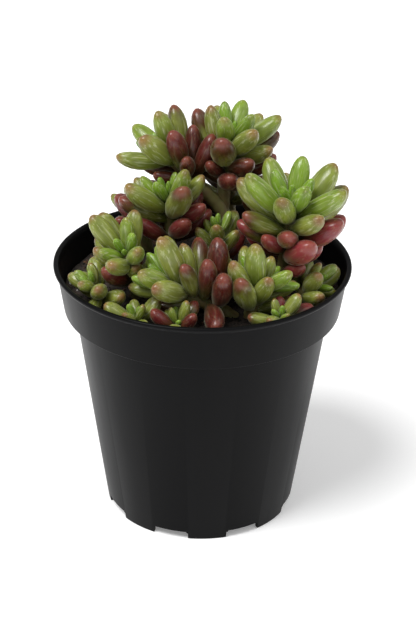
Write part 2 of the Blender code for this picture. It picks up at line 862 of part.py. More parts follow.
def make_leaf(leaves: Leaves, at: int, home: bpy.types.Collection) -> bpy.types.Object:
    """One bean-shaped leaf: a ball drawn out, fuller towards its tip and curled a little inwards."""
    mesh = bpy.data.meshes.new("leaf")
    shape = bmesh.new()
    sides = SHORT_LEAF_SIDES if leaves.length[at] < SHORT_LEAF else LEAF_SIDES
    rings = YOUNG_LEAF_RINGS if leaves.length[at] < YOUNG_LEAF else LEAF_RINGS
    bmesh.ops.create_uvsphere(shape, u_segments=sides, v_segments=rings, radius=1.0)
    way = leaves.way[at]
    inner = unit(leaves.inner[at] - way * float(way @ leaves.inner[at]))
    across = np.cross(inner, way)
    for vert in shape.verts:
        along = (1.0 + vert.co.z) / 2.0
        half = leaves.girth[at] / 2.0 * fullness(along)
        bend = CURL * along**2 * leaves.length[at]
        point = leaves.base[at] + way * along * leaves.length[at]
        point = point + across * vert.co.x * half
        point = point + inner * (vert.co.y * half * THICKNESS_SHARE + bend)
        vert.co = Vector(point)
    shape.to_mesh(mesh)
    shape.free()
    return add_object("leaf", mesh, home)


def make_shoot(
    index: int, leaves: Leaves, home: bpy.types.Collection, pieces: bpy.types.Collection
) -> bpy.types.Object:
    """One leafy stem, with its branch if it has one, and its leaves joined to it."""
    first, *branches = [shoot for shoot in SHOOTS if shoot.name == NODES[index]]
    stem = make_stem(first.name, first, 0.0, home)
    for branch in branches:
        make_stem("branch", branch, 0.0, pieces)
    for at in np.flatnonzero(NODE_OF[leaves.shoot] == index):
        make_leaf(leaves, int(at), pieces)
    boolean(stem, pieces, "UNION")
    keep_outer_body(stem)
    return stem


def make_soil(home: bpy.types.Collection, cutters: bpy.types.Collection) -> bpy.types.Object:
    """The potting mix, with a plain hole for every stem."""
    soil = turned("soil", soil_profile(), SOIL_STEPS, home)
    for shoot in SHOOTS:
        if shoot.root_z < SOIL_EDGE_Z:
            make_stem("hole", shoot, CLEARANCE, cutters)
    boolean(soil, cutters, "DIFFERENCE")
    return soil


def main() -> None:
    """Build the plant."""
    clear_scene()
    plant = collection("jelly_bean_plant")
    cutters = collection("cutters", hidden=True)
    pieces = collection("pieces", hidden=True)
    finish(make_pot(plant, cutters), material(*BLACK_PLASTIC), POT_SHARP_FROM_DEG)
    finish(make_soil(plant, cutters), material(*POTTING_MIX), SOIL_SHARP_FROM_DEG)
    green = material(*LEAF_FLESH)
    leaves = all_leaves()
    for index in range(len(NODES)):
        finish(make_shoot(index, leaves, plant, pieces), green, LEAF_SHARP_FROM_DEG)


if __name__ == "__main__":
    main()
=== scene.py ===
"""Finished look of a potted jelly bean plant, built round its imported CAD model.

The CAD nodes give every shape and place. This script repeats the rule that sets the
leaves, and puts a smooth, waxy leaf where the model has a faceted one. The pot gets
its rounded lip and moulded surface, and the potting mix its crumbs, bark and perlite.

Metres, +Z up. The origin is the middle of the pot's foot, and -Y is the front.
"""

import json
import logging
import math
from dataclasses import dataclass, field, fields
from enum import Enum

import bmesh
import bpy
import numpy as np
from bmesh.types import BMEdge, BMesh, BMVert
from bpy.types import Collection, Material, Mesh, Node, NodeSocket, NodeTree, Object
from mathutils import Matrix, Vector, noise

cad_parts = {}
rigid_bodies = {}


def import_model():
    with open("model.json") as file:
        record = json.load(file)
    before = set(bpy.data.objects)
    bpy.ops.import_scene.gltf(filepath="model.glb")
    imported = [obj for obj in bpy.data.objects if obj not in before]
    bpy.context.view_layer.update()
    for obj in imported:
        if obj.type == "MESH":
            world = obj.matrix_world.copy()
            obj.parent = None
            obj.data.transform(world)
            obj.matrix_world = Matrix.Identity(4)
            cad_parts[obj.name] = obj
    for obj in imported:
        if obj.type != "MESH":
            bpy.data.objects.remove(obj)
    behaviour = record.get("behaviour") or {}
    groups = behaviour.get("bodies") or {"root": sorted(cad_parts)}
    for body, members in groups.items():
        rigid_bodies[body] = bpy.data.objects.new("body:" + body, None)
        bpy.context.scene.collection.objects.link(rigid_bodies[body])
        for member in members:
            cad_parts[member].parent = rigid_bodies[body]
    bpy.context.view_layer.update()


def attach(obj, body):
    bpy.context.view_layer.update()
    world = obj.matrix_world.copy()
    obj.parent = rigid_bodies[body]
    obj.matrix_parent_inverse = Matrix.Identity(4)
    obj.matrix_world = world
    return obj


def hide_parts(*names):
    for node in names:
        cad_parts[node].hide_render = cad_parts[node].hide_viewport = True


LOG = logging.getLogger("jelly_bean_plant")
TINY = 1e-9
# Nearly all of a noise texture lies between these values
NOISE_LOW = 0.3
NOISE_HIGH = 0.7
Rgba = tuple[float, float, float, float]
# The balls' centres, with the radius or the node of each
Balls = tuple[np.ndarray, np.ndarray]
# The one leaf and the other of each pair
Pairs = tuple[np.ndarray, np.ndarray]


def linear(color: str) -> Rgba:
    """Turn an sRGB hex colour to linear RGBA.

    Args:
        color: the colour as "#RRGGBB".

    Returns:
        Linear red, green and blue, and an alpha of one.
    """
    channels = [int(color[at : at + 2], 16) / 255 for at in (1, 3, 5)]
    lit = [c / 12.92 if c <= 0.04045 else ((c + 0.055) / 1.055) ** 2.4 for c in channels]
    return (lit[0], lit[1], lit[2], 1.0)


def add_node(
    tree: NodeTree,
    kind: str,
    settings: dict[str, object] | None = None,
    inputs: dict[str | int, object] | None = None,
) -> Node:
    """Add one node with its settings and links.

    Args:
        tree: the node tree it goes into.
        kind: the node's type name.
        settings: property values by name.
        inputs: by socket name or number, a value to set or an output to link. A node
            stands for its first output.

    Returns:
        The new node.
    """
    made = tree.nodes.new(kind)
    for name, value in (settings or {}).items():
        setattr(made, name, value)
    for key, value in (inputs or {}).items():
        source = value.outputs[0] if isinstance(value, Node) else value
        if isinstance(source, NodeSocket):
            tree.links.new(source, made.inputs[key])
        else:
            made.inputs[key].default_value = source
    return made


def new_material(name: str, finish: dict[str, object]) -> tuple[Material, NodeTree, Node]:
    """Start a node material.

    Args:
        name: the finish it stands for.
        finish: the shader's values that are the same all over, by socket name.

    Returns:
        The material, its node tree and its Principled shader.
    """
    made = bpy.data.materials.new(name)
    made.use_nodes = True
    shader = made.node_tree.nodes["Principled BSDF"]
    for socket, value in finish.items():
        shader.inputs[socket].default_value = value
    return made, made.node_tree, shader


def new_tree(name: str, inputs: dict[str, str]) -> tuple[NodeTree, dict[str, NodeSocket]]:
    """Start a Geometry Nodes tree that takes and gives one geometry.

    Args:
        name: what the tree makes.
        inputs: socket types by input name, beside the geometry.

    Returns:
        The tree, and its inputs by name.
    """
    tree = bpy.data.node_groups.new(name, "GeometryNodeTree")
    tree.interface.new_socket("Geometry", in_out="INPUT", socket_type="NodeSocketGeometry")
    for label, kind in inputs.items():
        tree.interface.new_socket(label, in_out="INPUT", socket_type=kind)
    tree.interface.new_socket("Geometry", in_out="OUTPUT", socket_type="NodeSocketGeometry")
    given = tree.nodes.new("NodeGroupInput").outputs
    return tree, {socket.name: socket for socket in given if socket.name}


def close_tree(tree: NodeTree, geometry: Node, finish: NodeSocket) -> NodeTree:
    """End a Geometry Nodes tree by making its instances real and dressing them.

    Args:
        tree: the tree.
        geometry: the node that gives what it has made.
        finish: the material.

    Returns:
        The same tree.
    """
    real = add_node(tree, "GeometryNodeRealizeInstances", inputs={"Geometry": geometry})
    dress = {"Geometry": real, "Material": finish}
    dressed = add_node(tree, "GeometryNodeSetMaterial", inputs=dress)
    add_node(tree, "NodeGroupOutput", inputs={0: dressed})
    return tree


def freeze(thing: Object, layers: bool = False) -> None:
    """Keep what an object's modifiers make as its plain mesh.

    Args:
        thing: the object, left with no modifier.
        layers: whether every attribute is kept, which takes a second evaluation.
    """
    bpy.context.view_layer.update()
    graph = bpy.context.evaluated_depsgraph_get()
    made = thing.evaluated_get(graph)
    mesh = bpy.data.meshes.new_from_object(made, preserve_all_data_layers=layers, depsgraph=graph)
    thing.modifiers.clear()
    thing.data = mesh
    mesh.name = thing.name


def grow(thing: Object, tree: NodeTree, values: dict[str, object]) -> Object:
    """Run a Geometry Nodes tree on an object and keep its result as a plain mesh.

    Args:
        thing: the object that the tree starts from.
        tree: the tree.
        values: values of the tree's named inputs.

    Returns:
        The same object, with the result as its mesh and no modifier.
    """
    step = thing.modifiers.new(tree.name, "NODES")
    step.node_group = tree
    for item in tree.interface.items_tree:
        if item.item_type == "SOCKET" and item.in_out == "INPUT" and item.name in values:
            step[item.identifier] = values[item.name]
    freeze(thing, layers=True)
    return thing


def add_object(name: str, mesh: Mesh) -> Object:
    """Add a mesh object at the origin.

    Args:
        name: its name.
        mesh: its mesh.

    Returns:
        The object.
    """
    made = bpy.data.objects.new(name, mesh)
    bpy.context.scene.collection.objects.link(made)
    return made


def mesh_from(name: str, shape: BMesh) -> Mesh:
    """Turn a bmesh into a mesh, smooth shaded, and free it.

    Args:
        name: the mesh's name.
        shape: the bmesh.

    Returns:
        The mesh.
    """
    for face in shape.faces:
        face.smooth = True
    mesh = bpy.data.meshes.new(name)
    shape.to_mesh(mesh)
    shape.free()
    return mesh


def hand_over(piece: Object, replaced: tuple[str, ...] = ()) -> None:
    """Tie a finished piece to the model and report it.

    Args:
        piece: the finished piece.
        replaced: the CAD nodes that it stands for.
    """
    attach(piece, "root")
    if replaced:
        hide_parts(*replaced)
    LOG.info("%s: %d faces", piece.name, len(piece.data.polygons))


@dataclass(frozen=True)
class Shoot:
    """One leafy stem, given by its growing point, where it is rooted and how its leaves are set."""

    name: str
    tip: tuple[float, float, float]
    root: tuple[float, float]
    lean_to_deg: float
    lean_deg: float
    leaves: int
    turn_deg: float
    leaf_length: float
    splay_deg: float
    spacing: float
    lift: float
    hand: int = 1
    plump: float = 1.0
    seed: int = 1
    root_z: float = 0.0670


SHOOTS = (
    Shoot(
        "shoot_back", tip=(0.009, 0.0185, 0.1330), root=(0.008, 0.012), lean_to_deg=0, lean_deg=10,
        leaves=27, turn_deg=120, leaf_length=0.022, splay_deg=92, spacing=0.00055, lift=0.5,
        seed=7,
    ),
    Shoot(
        "shoot_back", tip=(-0.0135, 0.0175, 0.1285), root=(0.008, 0.013), lean_to_deg=165,
        lean_deg=34, leaves=22, turn_deg=-80, hand=-1, leaf_length=0.02, splay_deg=88,
        spacing=0.00055, lift=0.5, seed=8, root_z=0.101,
    ),
    Shoot(
        "shoot_left", tip=(-0.0125, 0.006, 0.1155), root=(-0.014, 0.003), lean_to_deg=-150,
        lean_deg=12, leaves=22, turn_deg=140, leaf_length=0.0225, splay_deg=98, spacing=0.0006,
        lift=0.75, seed=2,
    ),
    Shoot(
        "shoot_right", tip=(0.0300, -0.01, 0.1205), root=(0.026, -0.009), lean_to_deg=-80,
        lean_deg=8, leaves=33, turn_deg=180, leaf_length=0.0240, splay_deg=114, spacing=0.00065,
        lift=0.35, seed=2,
    ),
    Shoot(
        "shoot_front_left", tip=(-0.0262, -0.0165, 0.1045), root=(-0.021, -0.013),
        lean_to_deg=-105, lean_deg=45, leaves=18, turn_deg=20, hand=-1, leaf_length=0.02,
        splay_deg=100, spacing=0.0007, lift=0.65, seed=8,
    ),
    Shoot(
        "shoot_front", tip=(0.0205, -0.0235, 0.0985), root=(0.0140, -0.024), lean_to_deg=30,
        lean_deg=25, leaves=26, turn_deg=-90, leaf_length=0.022, splay_deg=102, spacing=0.0006,
        lift=0.75, seed=7,
    ),
    Shoot(
        "shoot_front", tip=(-0.0125, -0.0255, 0.0990), root=(0.0140, -0.024), lean_to_deg=165,
        lean_deg=50, leaves=24, turn_deg=10, leaf_length=0.0220, splay_deg=97, spacing=0.0007,
        lift=0.5, seed=8, root_z=0.077,
    ),
    Shoot(
        "shoot_rear", tip=(0.0100, 0.0320, 0.1120), root=(0.006, 0.028), lean_to_deg=90,
        lean_deg=20, leaves=10, turn_deg=0, leaf_length=0.018, splay_deg=95, spacing=0.001,
        lift=0.5, plump=1.1,
    ),
    Shoot(
        "shoot_rear_right", tip=(0.028, 0.025, 0.109), root=(0.023, 0.021), lean_to_deg=60,
        lean_deg=25, leaves=8, turn_deg=40, leaf_length=0.0175, splay_deg=95, spacing=0.001,
        lift=0.45,
    ),
    Shoot(
        "shoot_rear_left", tip=(-0.023, 0.031, 0.104), root=(-0.02, 0.028), lean_to_deg=110,
        lean_deg=25, leaves=8, turn_deg=10, hand=-1, leaf_length=0.0165, splay_deg=90,
        spacing=0.001, lift=0.4,
    ),
    Shoot(
        "offset_left", tip=(-0.038, -0.021, 0.095), root=(-0.034, -0.017), lean_to_deg=-160,
        lean_deg=45, leaves=11, turn_deg=0, leaf_length=0.0155, splay_deg=86, spacing=0.0006,
        lift=0.35, plump=1.2, seed=7,
    ),
    Shoot(
        "offset_right", tip=(0.038, -0.015, 0.0935), root=(0.034, -0.013), lean_to_deg=-20,
        lean_deg=50, leaves=10, turn_deg=180, leaf_length=0.0205, splay_deg=95, spacing=0.0006,
        lift=0.4, plump=1.1, seed=2,
    ),
    Shoot(
        "offset_front_left", tip=(-0.008, -0.0375, 0.089), root=(-0.008, -0.037), lean_to_deg=-90,
        lean_deg=5, leaves=9, turn_deg=30, leaf_length=0.0140, splay_deg=75, spacing=0.00025,
        lift=0.6, plump=1.2,
    ),
    Shoot(
        "offset_front_edge", tip=(-0.0225, -0.035, 0.089), root=(-0.0205, -0.032), lean_to_deg=200,
        lean_deg=20, leaves=8, turn_deg=80, hand=-1, leaf_length=0.0140, splay_deg=75,
        spacing=0.00025, lift=0.6, plump=1.2,
    ),
    Shoot(
        "offset_front_right", tip=(0.0265, -0.0345, 0.0905), root=(0.0235, -0.0305),
        lean_to_deg=-40, lean_deg=10, leaves=9, turn_deg=120, leaf_length=0.0148, splay_deg=75,
        spacing=0.00025, lift=0.6, plump=1.2,
    ),
    Shoot(
        "offset_middle", tip=(0.0055, 0.001, 0.1060), root=(0.004, -0.001), lean_to_deg=90,
        lean_deg=8, leaves=11, turn_deg=0, leaf_length=0.0175, splay_deg=80, spacing=0.001,
        lift=0.4, plump=1.1,
    ),
)
NODES = tuple(dict.fromkeys(shoot.name for shoot in SHOOTS))
NODE_OF = np.array([NODES.index(shoot.name) for shoot in SHOOTS])


@dataclass(frozen=True)
class Blush:
    """How the leaves of one plantlet redden as they age, from sun and cool nights."""

    starts_at: float
    rosy: float


BLUSHES = {
    "shoot_back": Blush(starts_at=0.45, rosy=0.10),
    "shoot_left": Blush(starts_at=0.42, rosy=0.45),
    "shoot_right": Blush(starts_at=0.40, rosy=0.85),
    "shoot_front": Blush(starts_at=0.50, rosy=0.15),
    "shoot_front_left": Blush(starts_at=0.75, rosy=0.30),
    "offset_left": Blush(starts_at=1.30, rosy=0.30),
    "offset_right": Blush(starts_at=1.00, rosy=0.80),
    "offset_front_edge": Blush(starts_at=0.90, rosy=0.30),
    "offset_front_left": Blush(starts_at=0.65, rosy=0.30),
    "offset_front_right": Blush(starts_at=0.65, rosy=0.60),
}
OTHER_BLUSH = Blush(starts_at=0.75, rosy=0.40)


@dataclass
class Leaves:
    """The leaves of all shoots, one row each."""

    base: np.ndarray
    way: np.ndarray
    inner: np.ndarray
    length: np.ndarray
    girth: np.ndarray
    age: np.ndarray
    shoot: np.ndarray

    def only(self, keep: np.ndarray) -> "Leaves":
        """Keep the marked leaves."""
        return Leaves(*(getattr(self, column.name)[keep] for column in fields(self)))

    def upward(self) -> np.ndarray:
        """Give each leaf's upper side, square to its length and towards the growing point."""
        return unit(self.inner - (self.inner * self.way).sum(1)[:, None] * self.way)


def unit(vectors: np.ndarray) -> np.ndarray:
    """Scale each row to length one."""
    return vectors / np.linalg.norm(vectors, axis=-1, keepdims=True)


@dataclass(frozen=True)
class PotSizes:
    """Sizes of the 105 mm round nursery pot and of its filling, as in the CAD model."""

    height: float = 0.095
    rim_radius: float = 0.0525
    lip_height: float = 0.0016
    band_top_radius: float = 0.0513
    band_foot_radius: float = 0.0490
    band_height: float = 0.0170
    body_top_radius: float = 0.0452
    foot_radius: float = 0.0342
    wall: float = 0.0011
    shoulder_height: float = 0.00154
    shoulder_fall: float = 0.00033
    foot_ring_width: float = 0.00176
    floor_underside: float = 0.0034
    floor_thickness: float = 0.0014
    soil_edge_z: float = 0.0850
    soil_crown: float = 0.0022
    soil_places: tuple[float, ...] = (0.0, 0.45, 0.80, 1.0)
    soil_shares: tuple[float, ...] = (1.0, 0.8, 0.3, 0.0)

    @property
    def step(self) -> float:
        """Height of the step under the rim's band."""
        return self.height - self.band_height

    @property
    def soil_radius(self) -> float:
        """Radius of the potting mix at its upper edge."""
        return float(self.inner_radius(self.soil_edge_z))

    def inner_radius(self, height: np.ndarray | float) -> np.ndarray:
        """Find the inner wall.

        Args:
            height: heights above the foot.

        Returns:
            The radius of the inner wall at each height.
        """
        body_rise = self.body_top_radius - self.foot_radius
        body = self.foot_radius + body_rise * height / self.step
        band_rise = self.band_top_radius - self.band_foot_radius
        band = self.band_foot_radius + band_rise * (height - self.step) / self.band_height
        return np.where(height < self.step, body, band) - self.wall

    def soil_height(self, out: np.ndarray | float) -> np.ndarray:
        """Find the top of the potting mix at distances from the pot's axis."""
        rise = np.interp(out / self.soil_radius, self.soil_places, self.soil_shares)
        return self.soil_edge_z + self.soil_crown * rise


@dataclass(frozen=True)
class LeafRule:
    """The rule that sets every leaf: a spiral round each stem, then room made for neighbours."""

    pot: PotSizes = field(default_factory=PotSizes)
    stem_radius_tip: float = 0.0014
    stem_radius_old: float = 0.0024
    stem_thickens_over: float = 0.012
    stem_pull: float = 0.35
    stem_end: float = 0.0008
    walk_steps: int = 61
    golden_angle: float = math.radians(137.508)
    youngest_share: float = 0.34
    grown_at: int = 6
    slimness_young: float = 0.34
    slimness_old: float = 0.42
    curl: float = 0.10
    first_splay_deg: float = 5.0
    splay_power: float = 0.6
    stretch: float = 0.3
    turn_jitter_deg: float = 6.0
    splay_jitter_deg: float = 5.0
    length_jitter: float = 0.07
    fullness_at_base: float = 0.66
    fullness_gained: float = 0.60
    facet_gain: float = 1.07
    ball_places: tuple[float, ...] = (0.25, 0.45, 0.65, 0.85)
    stem_balls_from: float = 0.004
    stem_ball_step: float = 0.002
    stem_balls_under_soil: float = 0.004
    settle_rounds: int = 70
    settle_push: float = 1.05
    settle_return: float = 0.015
    same_shoot_share: float = 0.74
    same_node_share: float = 0.86
    shoot_gap: float = 0.0009
    wall_gap: float = 0.0010
    tried_places: tuple[float, ...] = (0.05, 0.15, 0.25, 0.35, 0.45, 0.55, 0.65, 0.75, 0.85, 0.95)
    least_gap: float = 0.0002
    shrinks: int = 12
    shrink: float = 0.96
    shrink_settle_rounds: int = 12

    def stem_walk(self, shoot: Shoot) -> tuple[np.ndarray, np.ndarray, np.ndarray]:
        """Walk down a stem, which leaves its tip along its lean and is rooted upright.

        Args:
            shoot: the shoot.

        Returns:
            Distances below the tip, points, and upward directions.
        """
        lean_to = math.radians(shoot.lean_to_deg)
        lean = math.radians(shoot.lean_deg)
        axis = np.array(
            [math.sin(lean) * math.cos(lean_to), math.sin(lean) * math.sin(lean_to), math.cos(lean)]
        )
        tip = np.array(shoot.tip)
        root = np.array([*shoot.root, shoot.root_z])
        pull = self.stem_pull * np.linalg.norm(tip - root)
        above_root = root + np.array([0.0, 0.0, pull])
        t = np.linspace(0.0, 1.0, self.walk_steps)[:, None]
        points = (1 - t) ** 3 * tip + 3 * (1 - t) ** 2 * t * (tip - axis * pull)
        points = points + 3 * (1 - t) * t**2 * above_root + t**3 * root
        steps = np.linalg.norm(np.diff(points, axis=0), axis=1)
        depths = np.concatenate([[0.0], np.cumsum(steps)])
        return depths, points, unit(-np.gradient(points, depths, axis=0))

    def stem_path(self, shoot: Shoot, depths: np.ndarray) -> tuple[np.ndarray, np.ndarray]:
        """Find places on a stem.

        Args:
            shoot: the shoot.
            depths: distances below its tip.

        Returns:
            Points, and upward directions.
        """
        walked, points, axes = self.stem_walk(shoot)
        at, up = (
            np.stack([np.interp(depths, walked, rows[:, axis]) for axis in range(3)], axis=1)
            for rows in (points, axes)
        )
        return at, unit(up)

    def spring(self, index: int) -> Leaves:
        """Set the leaves of one shoot on their spiral, before they press on each other.

        Args:
            index: the shoot's place in SHOOTS.

        Returns:
            Its leaves.
        """
        shoot = SHOOTS[index]
        rank = np.arange(shoot.leaves)
        age = rank / (shoot.leaves - 1)
        base, axes = self.stem_path(shoot, shoot.spacing * rank * (1.0 + self.stretch * age))
        jitter = np.random.default_rng(shoot.seed).normal(size=(shoot.leaves, 3))
        turn = math.radians(shoot.turn_deg) + shoot.hand * rank * self.golden_angle
        turn = turn + math.radians(self.turn_jitter_deg) * jitter[:, 0]
        opened = (shoot.splay_deg - self.first_splay_deg) * age**self.splay_power
        splay = np.radians(self.first_splay_deg + opened)
        splay = splay + math.radians(self.splay_jitter_deg) * jitter[:, 1] * age
        lean_to = math.radians(shoot.lean_to_deg)
        side = unit(np.cross(axes, np.array([math.cos(lean_to), math.sin(lean_to), 0.0])))
        ahead = np.cross(side, axes)
        outward = np.cos(turn)[:, None] * ahead + np.sin(turn)[:, None] * side
        way = np.sin(splay)[:, None] * outward + np.cos(splay)[:, None] * axes
        way = unit(way + np.outer(shoot.lift * age, [0.0, 0.0, 1.0]))
        share = self.youngest_share + (1.0 - self.youngest_share) * rank / self.grown_at
        length = shoot.leaf_length * np.minimum(1.0, share)
        length = length * (1.0 + self.length_jitter * jitter[:, 2])
        slimness = self.slimness_young + (self.slimness_old - self.slimness_young) * age
        girth = shoot.plump * length * slimness
        return Leaves(base, way, axes, length, girth, age, np.full(shoot.leaves, index))

    def fullness(self, along: np.ndarray | float) -> np.ndarray | float:
        """Say how much fuller than an ellipsoid a leaf is, from its base at 0 to its tip at 1."""
        return (self.fullness_at_base + self.fullness_gained * along) * self.facet_gain

    def balls(self, leaves: Leaves, along: tuple[float, ...]) -> Balls:
        """Fill each leaf with balls.

        Args:
            leaves: the leaves.
            along: places along each leaf's midline.

        Returns:
            Centres and radii of the balls.
        """
        places = np.array(along)
        reach = leaves.length[:, None, None]
        centres = leaves.base[:, None] + leaves.way[:, None] * places[None, :, None] * reach
        bend = self.curl * (places**2)[None, :, None] * reach
        centres = centres + leaves.upward()[:, None] * bend
        shares = self.fullness(places) * np.sqrt(places * (1.0 - places))
        return centres, leaves.girth[:, None] * shares[None]

    def stem_balls(self) -> Balls:
        """Fill every stem above the soil with balls.

        Returns:
            Their centres, and the node of each.
        """
        centres = []
        owners = []
        for shoot in SHOOTS:
            length = self.stem_walk(shoot)[0][-1]
            depths = np.arange(self.stem_balls_from, length, self.stem_ball_step)
            points = self.stem_path(shoot, depths)[0]
            lowest = self.pot.soil_edge_z - self.stem_balls_under_soil
            points = points[points[:, 2] > lowest]
            centres.append(points)
            owners.append(np.full(len(points), NODES.index(shoot.name)))
        return np.concatenate(centres), np.concatenate(owners)

    def near_pairs(self, leaves: Leaves) -> Pairs:
        """Pair the leaves that are near enough to touch.

        Args:
            leaves: the leaves.

        Returns:
            The one leaf and the other of each pair.
        """
        middle = leaves.base + leaves.way * leaves.length[:, None] * 0.5
        apart = np.linalg.norm(middle[:, None] - middle[None], axis=2)
        reach = leaves.length[:, None] + leaves.length[None]
        return np.nonzero(np.triu(apart < reach, 1))

    def pair_overlap(
        self, leaves: Leaves, balls: Balls, pairs: Pairs, gap: float
    ) -> tuple[np.ndarray, np.ndarray, np.ndarray]:
        """Measure how far leaves are into each other.

        Args:
            leaves: the leaves.
            balls: their balls' centres and radii.
            pairs: the pairs to measure.
            gap: the clearance wanted between leaves of two nodes.

        Returns:
            Each ball's overlap with each ball of the other leaf, its direction, and
            whether the two leaves share a node.
        """
        centres, radii = balls
        one, other = pairs
        fused = NODE_OF[leaves.shoot[one]] == NODE_OF[leaves.shoot[other]]
        same = leaves.shoot[one] == leaves.shoot[other]
        kin_share = np.where(fused, self.same_node_share, 1.0)
        share = np.where(same, self.same_shoot_share, kin_share)
        apart = centres[one][:, :, None] - centres[other][:, None]
        distance = np.sqrt((apart**2).sum(3)) + TINY
        wanted = radii[one][:, :, None] + radii[other][:, None]
        wanted = wanted * share[:, None, None] + np.where(fused, 0.0, gap)[:, None, None]
        return np.maximum(0.0, wanted - distance), apart / distance[..., None], fused

    def pair_push(self, leaves: Leaves, balls: Balls, pairs: Pairs) -> np.ndarray:
        """Push leaves off each other.

        Args:
            leaves: the leaves.
            balls: their balls' centres and radii.
            pairs: the pairs that may touch.

        Returns:
            How far each ball is pushed.
        """
        overlap, direction, _ = self.pair_overlap(leaves, balls, pairs, self.shoot_gap)
        shove = direction * overlap[..., None] * 0.5
        push = np.zeros_like(balls[0])
        np.add.at(push, pairs[0], shove.sum(2))
        np.add.at(push, pairs[1], -shove.sum(1))
        return push

    def surroundings_push(
        self, leaves: Leaves, balls: Balls, stems: Balls, gap: float
    ) -> np.ndarray:
        """Push leaves off other nodes' stems, the soil, the pot's wall and its rim.

        Args:
            leaves: the leaves.
            balls: their balls' centres and radii.
            stems: the stems' balls and their nodes.
            gap: the clearance wanted.

        Returns:
            How far each ball is pushed.
        """
        centres, radii = balls
        apart = centres[:, :, None] - stems[0][None, None]
        distance = np.sqrt((apart**2).sum(3)) + TINY
        wanted = radii[:, :, None] + self.stem_radius_old + gap
        strange = NODE_OF[leaves.shoot][:, None, None] != stems[1][None, None]
        overlap = np.maximum(0.0, wanted - distance) * strange
        nearest = overlap.argmax(2)[..., None]
        ways = apart / distance[..., None]
        direction = np.take_along_axis(ways, nearest[..., None], 2)[:, :, 0]
        push = direction * np.take_along_axis(overlap, nearest, 2)
        out = np.sqrt(centres[..., 0] ** 2 + centres[..., 1] ** 2) + TINY
        height = centres[..., 2]
        level = np.zeros_like(out)
        outward = np.stack([centres[..., 0] / out, centres[..., 1] / out, level], axis=-1)
        up = np.array([0.0, 0.0, 1.0])
        sunk = np.maximum(0.0, self.pot.soil_height(out) + gap + radii - height)
        push = push + sunk[..., None] * up
        below_rim = height < self.pot.height
        past_wall = np.maximum(0.0, out + radii + gap - self.pot.inner_radius(height)) * below_rim
        push = push - past_wall[..., None] * outward
        rim_out = out - (self.pot.rim_radius - self.pot.wall)
        rim_up = height - self.pot.height
        rim_distance = np.sqrt(rim_out**2 + rim_up**2) + TINY
        near_rim = np.maximum(0.0, radii + self.pot.wall + gap - rim_distance) * ~below_rim
        away = outward * (rim_out / rim_distance)[..., None] + up * (rim_up / rim_distance)[..., None]
        return push + away * near_rim[..., None]

    def settle(self, leaves: Leaves, wanted: np.ndarray, rounds: int) -> None:
        """Turn each leaf about its base until it lies beside its neighbours.

        Args:
            leaves: the leaves, whose directions are changed.
            wanted: the directions that they tend back to.
            rounds: how often all are turned a little.
        """
        lever = (np.array(self.ball_places)[None] * leaves.length[:, None])[..., None]
        pairs = self.near_pairs(leaves)
        stems = self.stem_balls()
        for _ in range(rounds):
            balls = self.balls(leaves, self.ball_places)
            push = self.pair_push(leaves, balls, pairs)
            push = push + self.surroundings_push(leaves, balls, stems, self.wall_gap)
            turn = self.settle_push * (push / lever).mean(1)
            leaves.way = unit(leaves.way + turn + self.settle_return * (wanted - leaves.way))

    def crowded(self, leaves: Leaves) -> tuple[np.ndarray, np.ndarray]:
        """Find leaves without room.

        Args:
            leaves: the leaves.

        Returns:
            Marks of those that run into the pot, the soil or a stem, and pairs of
            leaves of two nodes that clash.
        """
        balls = self.balls(leaves, self.tried_places)
        push = self.surroundings_push(leaves, balls, self.stem_balls(), self.least_gap)
        stuck = np.linalg.norm(push, axis=2).max(1) > TINY
        pairs = self.near_pairs(leaves)
        overlap, _, fused = self.pair_overlap(leaves, balls, pairs, self.least_gap)
        clash = (overlap.max((1, 2)) > 0.0) & ~fused
        return stuck, np.stack(pairs, axis=1)[clash]

    def fitted(self, leaves: Leaves) -> Leaves:
        """Settle the leaves, shrink those without room, and drop the few that still have none.

        Args:
            leaves: the leaves as they sprang.

        Returns:
            The leaves that stay.
        """
        wanted = leaves.way.copy()
        self.settle(leaves, wanted, self.settle_rounds)
        for _ in range(self.shrinks):
            stuck, pairs = self.crowded(leaves)
            stuck[pairs.ravel()] = True
            leaves.length = np.where(stuck, self.shrink, 1.0) * leaves.length
            leaves.girth = np.where(stuck, self.shrink, 1.0) * leaves.girth
            self.settle(leaves, wanted, self.shrink_settle_rounds)
        stuck, pairs = self.crowded(leaves)
        for one, other in pairs:
            if not stuck[one] and not stuck[other]:
                stuck[one if leaves.age[one] >= leaves.age[other] else other] = True
        return leaves.only(~stuck)

    def all_leaves(self) -> Leaves:
        """Set every leaf of the plant.

        Returns:
            All leaves, settled.
        """
        grown = [self.spring(index) for index in range(len(SHOOTS))]
        columns = [[getattr(leaves, column.name) for leaves in grown] for column in fields(Leaves)]
        return self.fitted(Leaves(*(np.concatenate(column) for column in columns)))


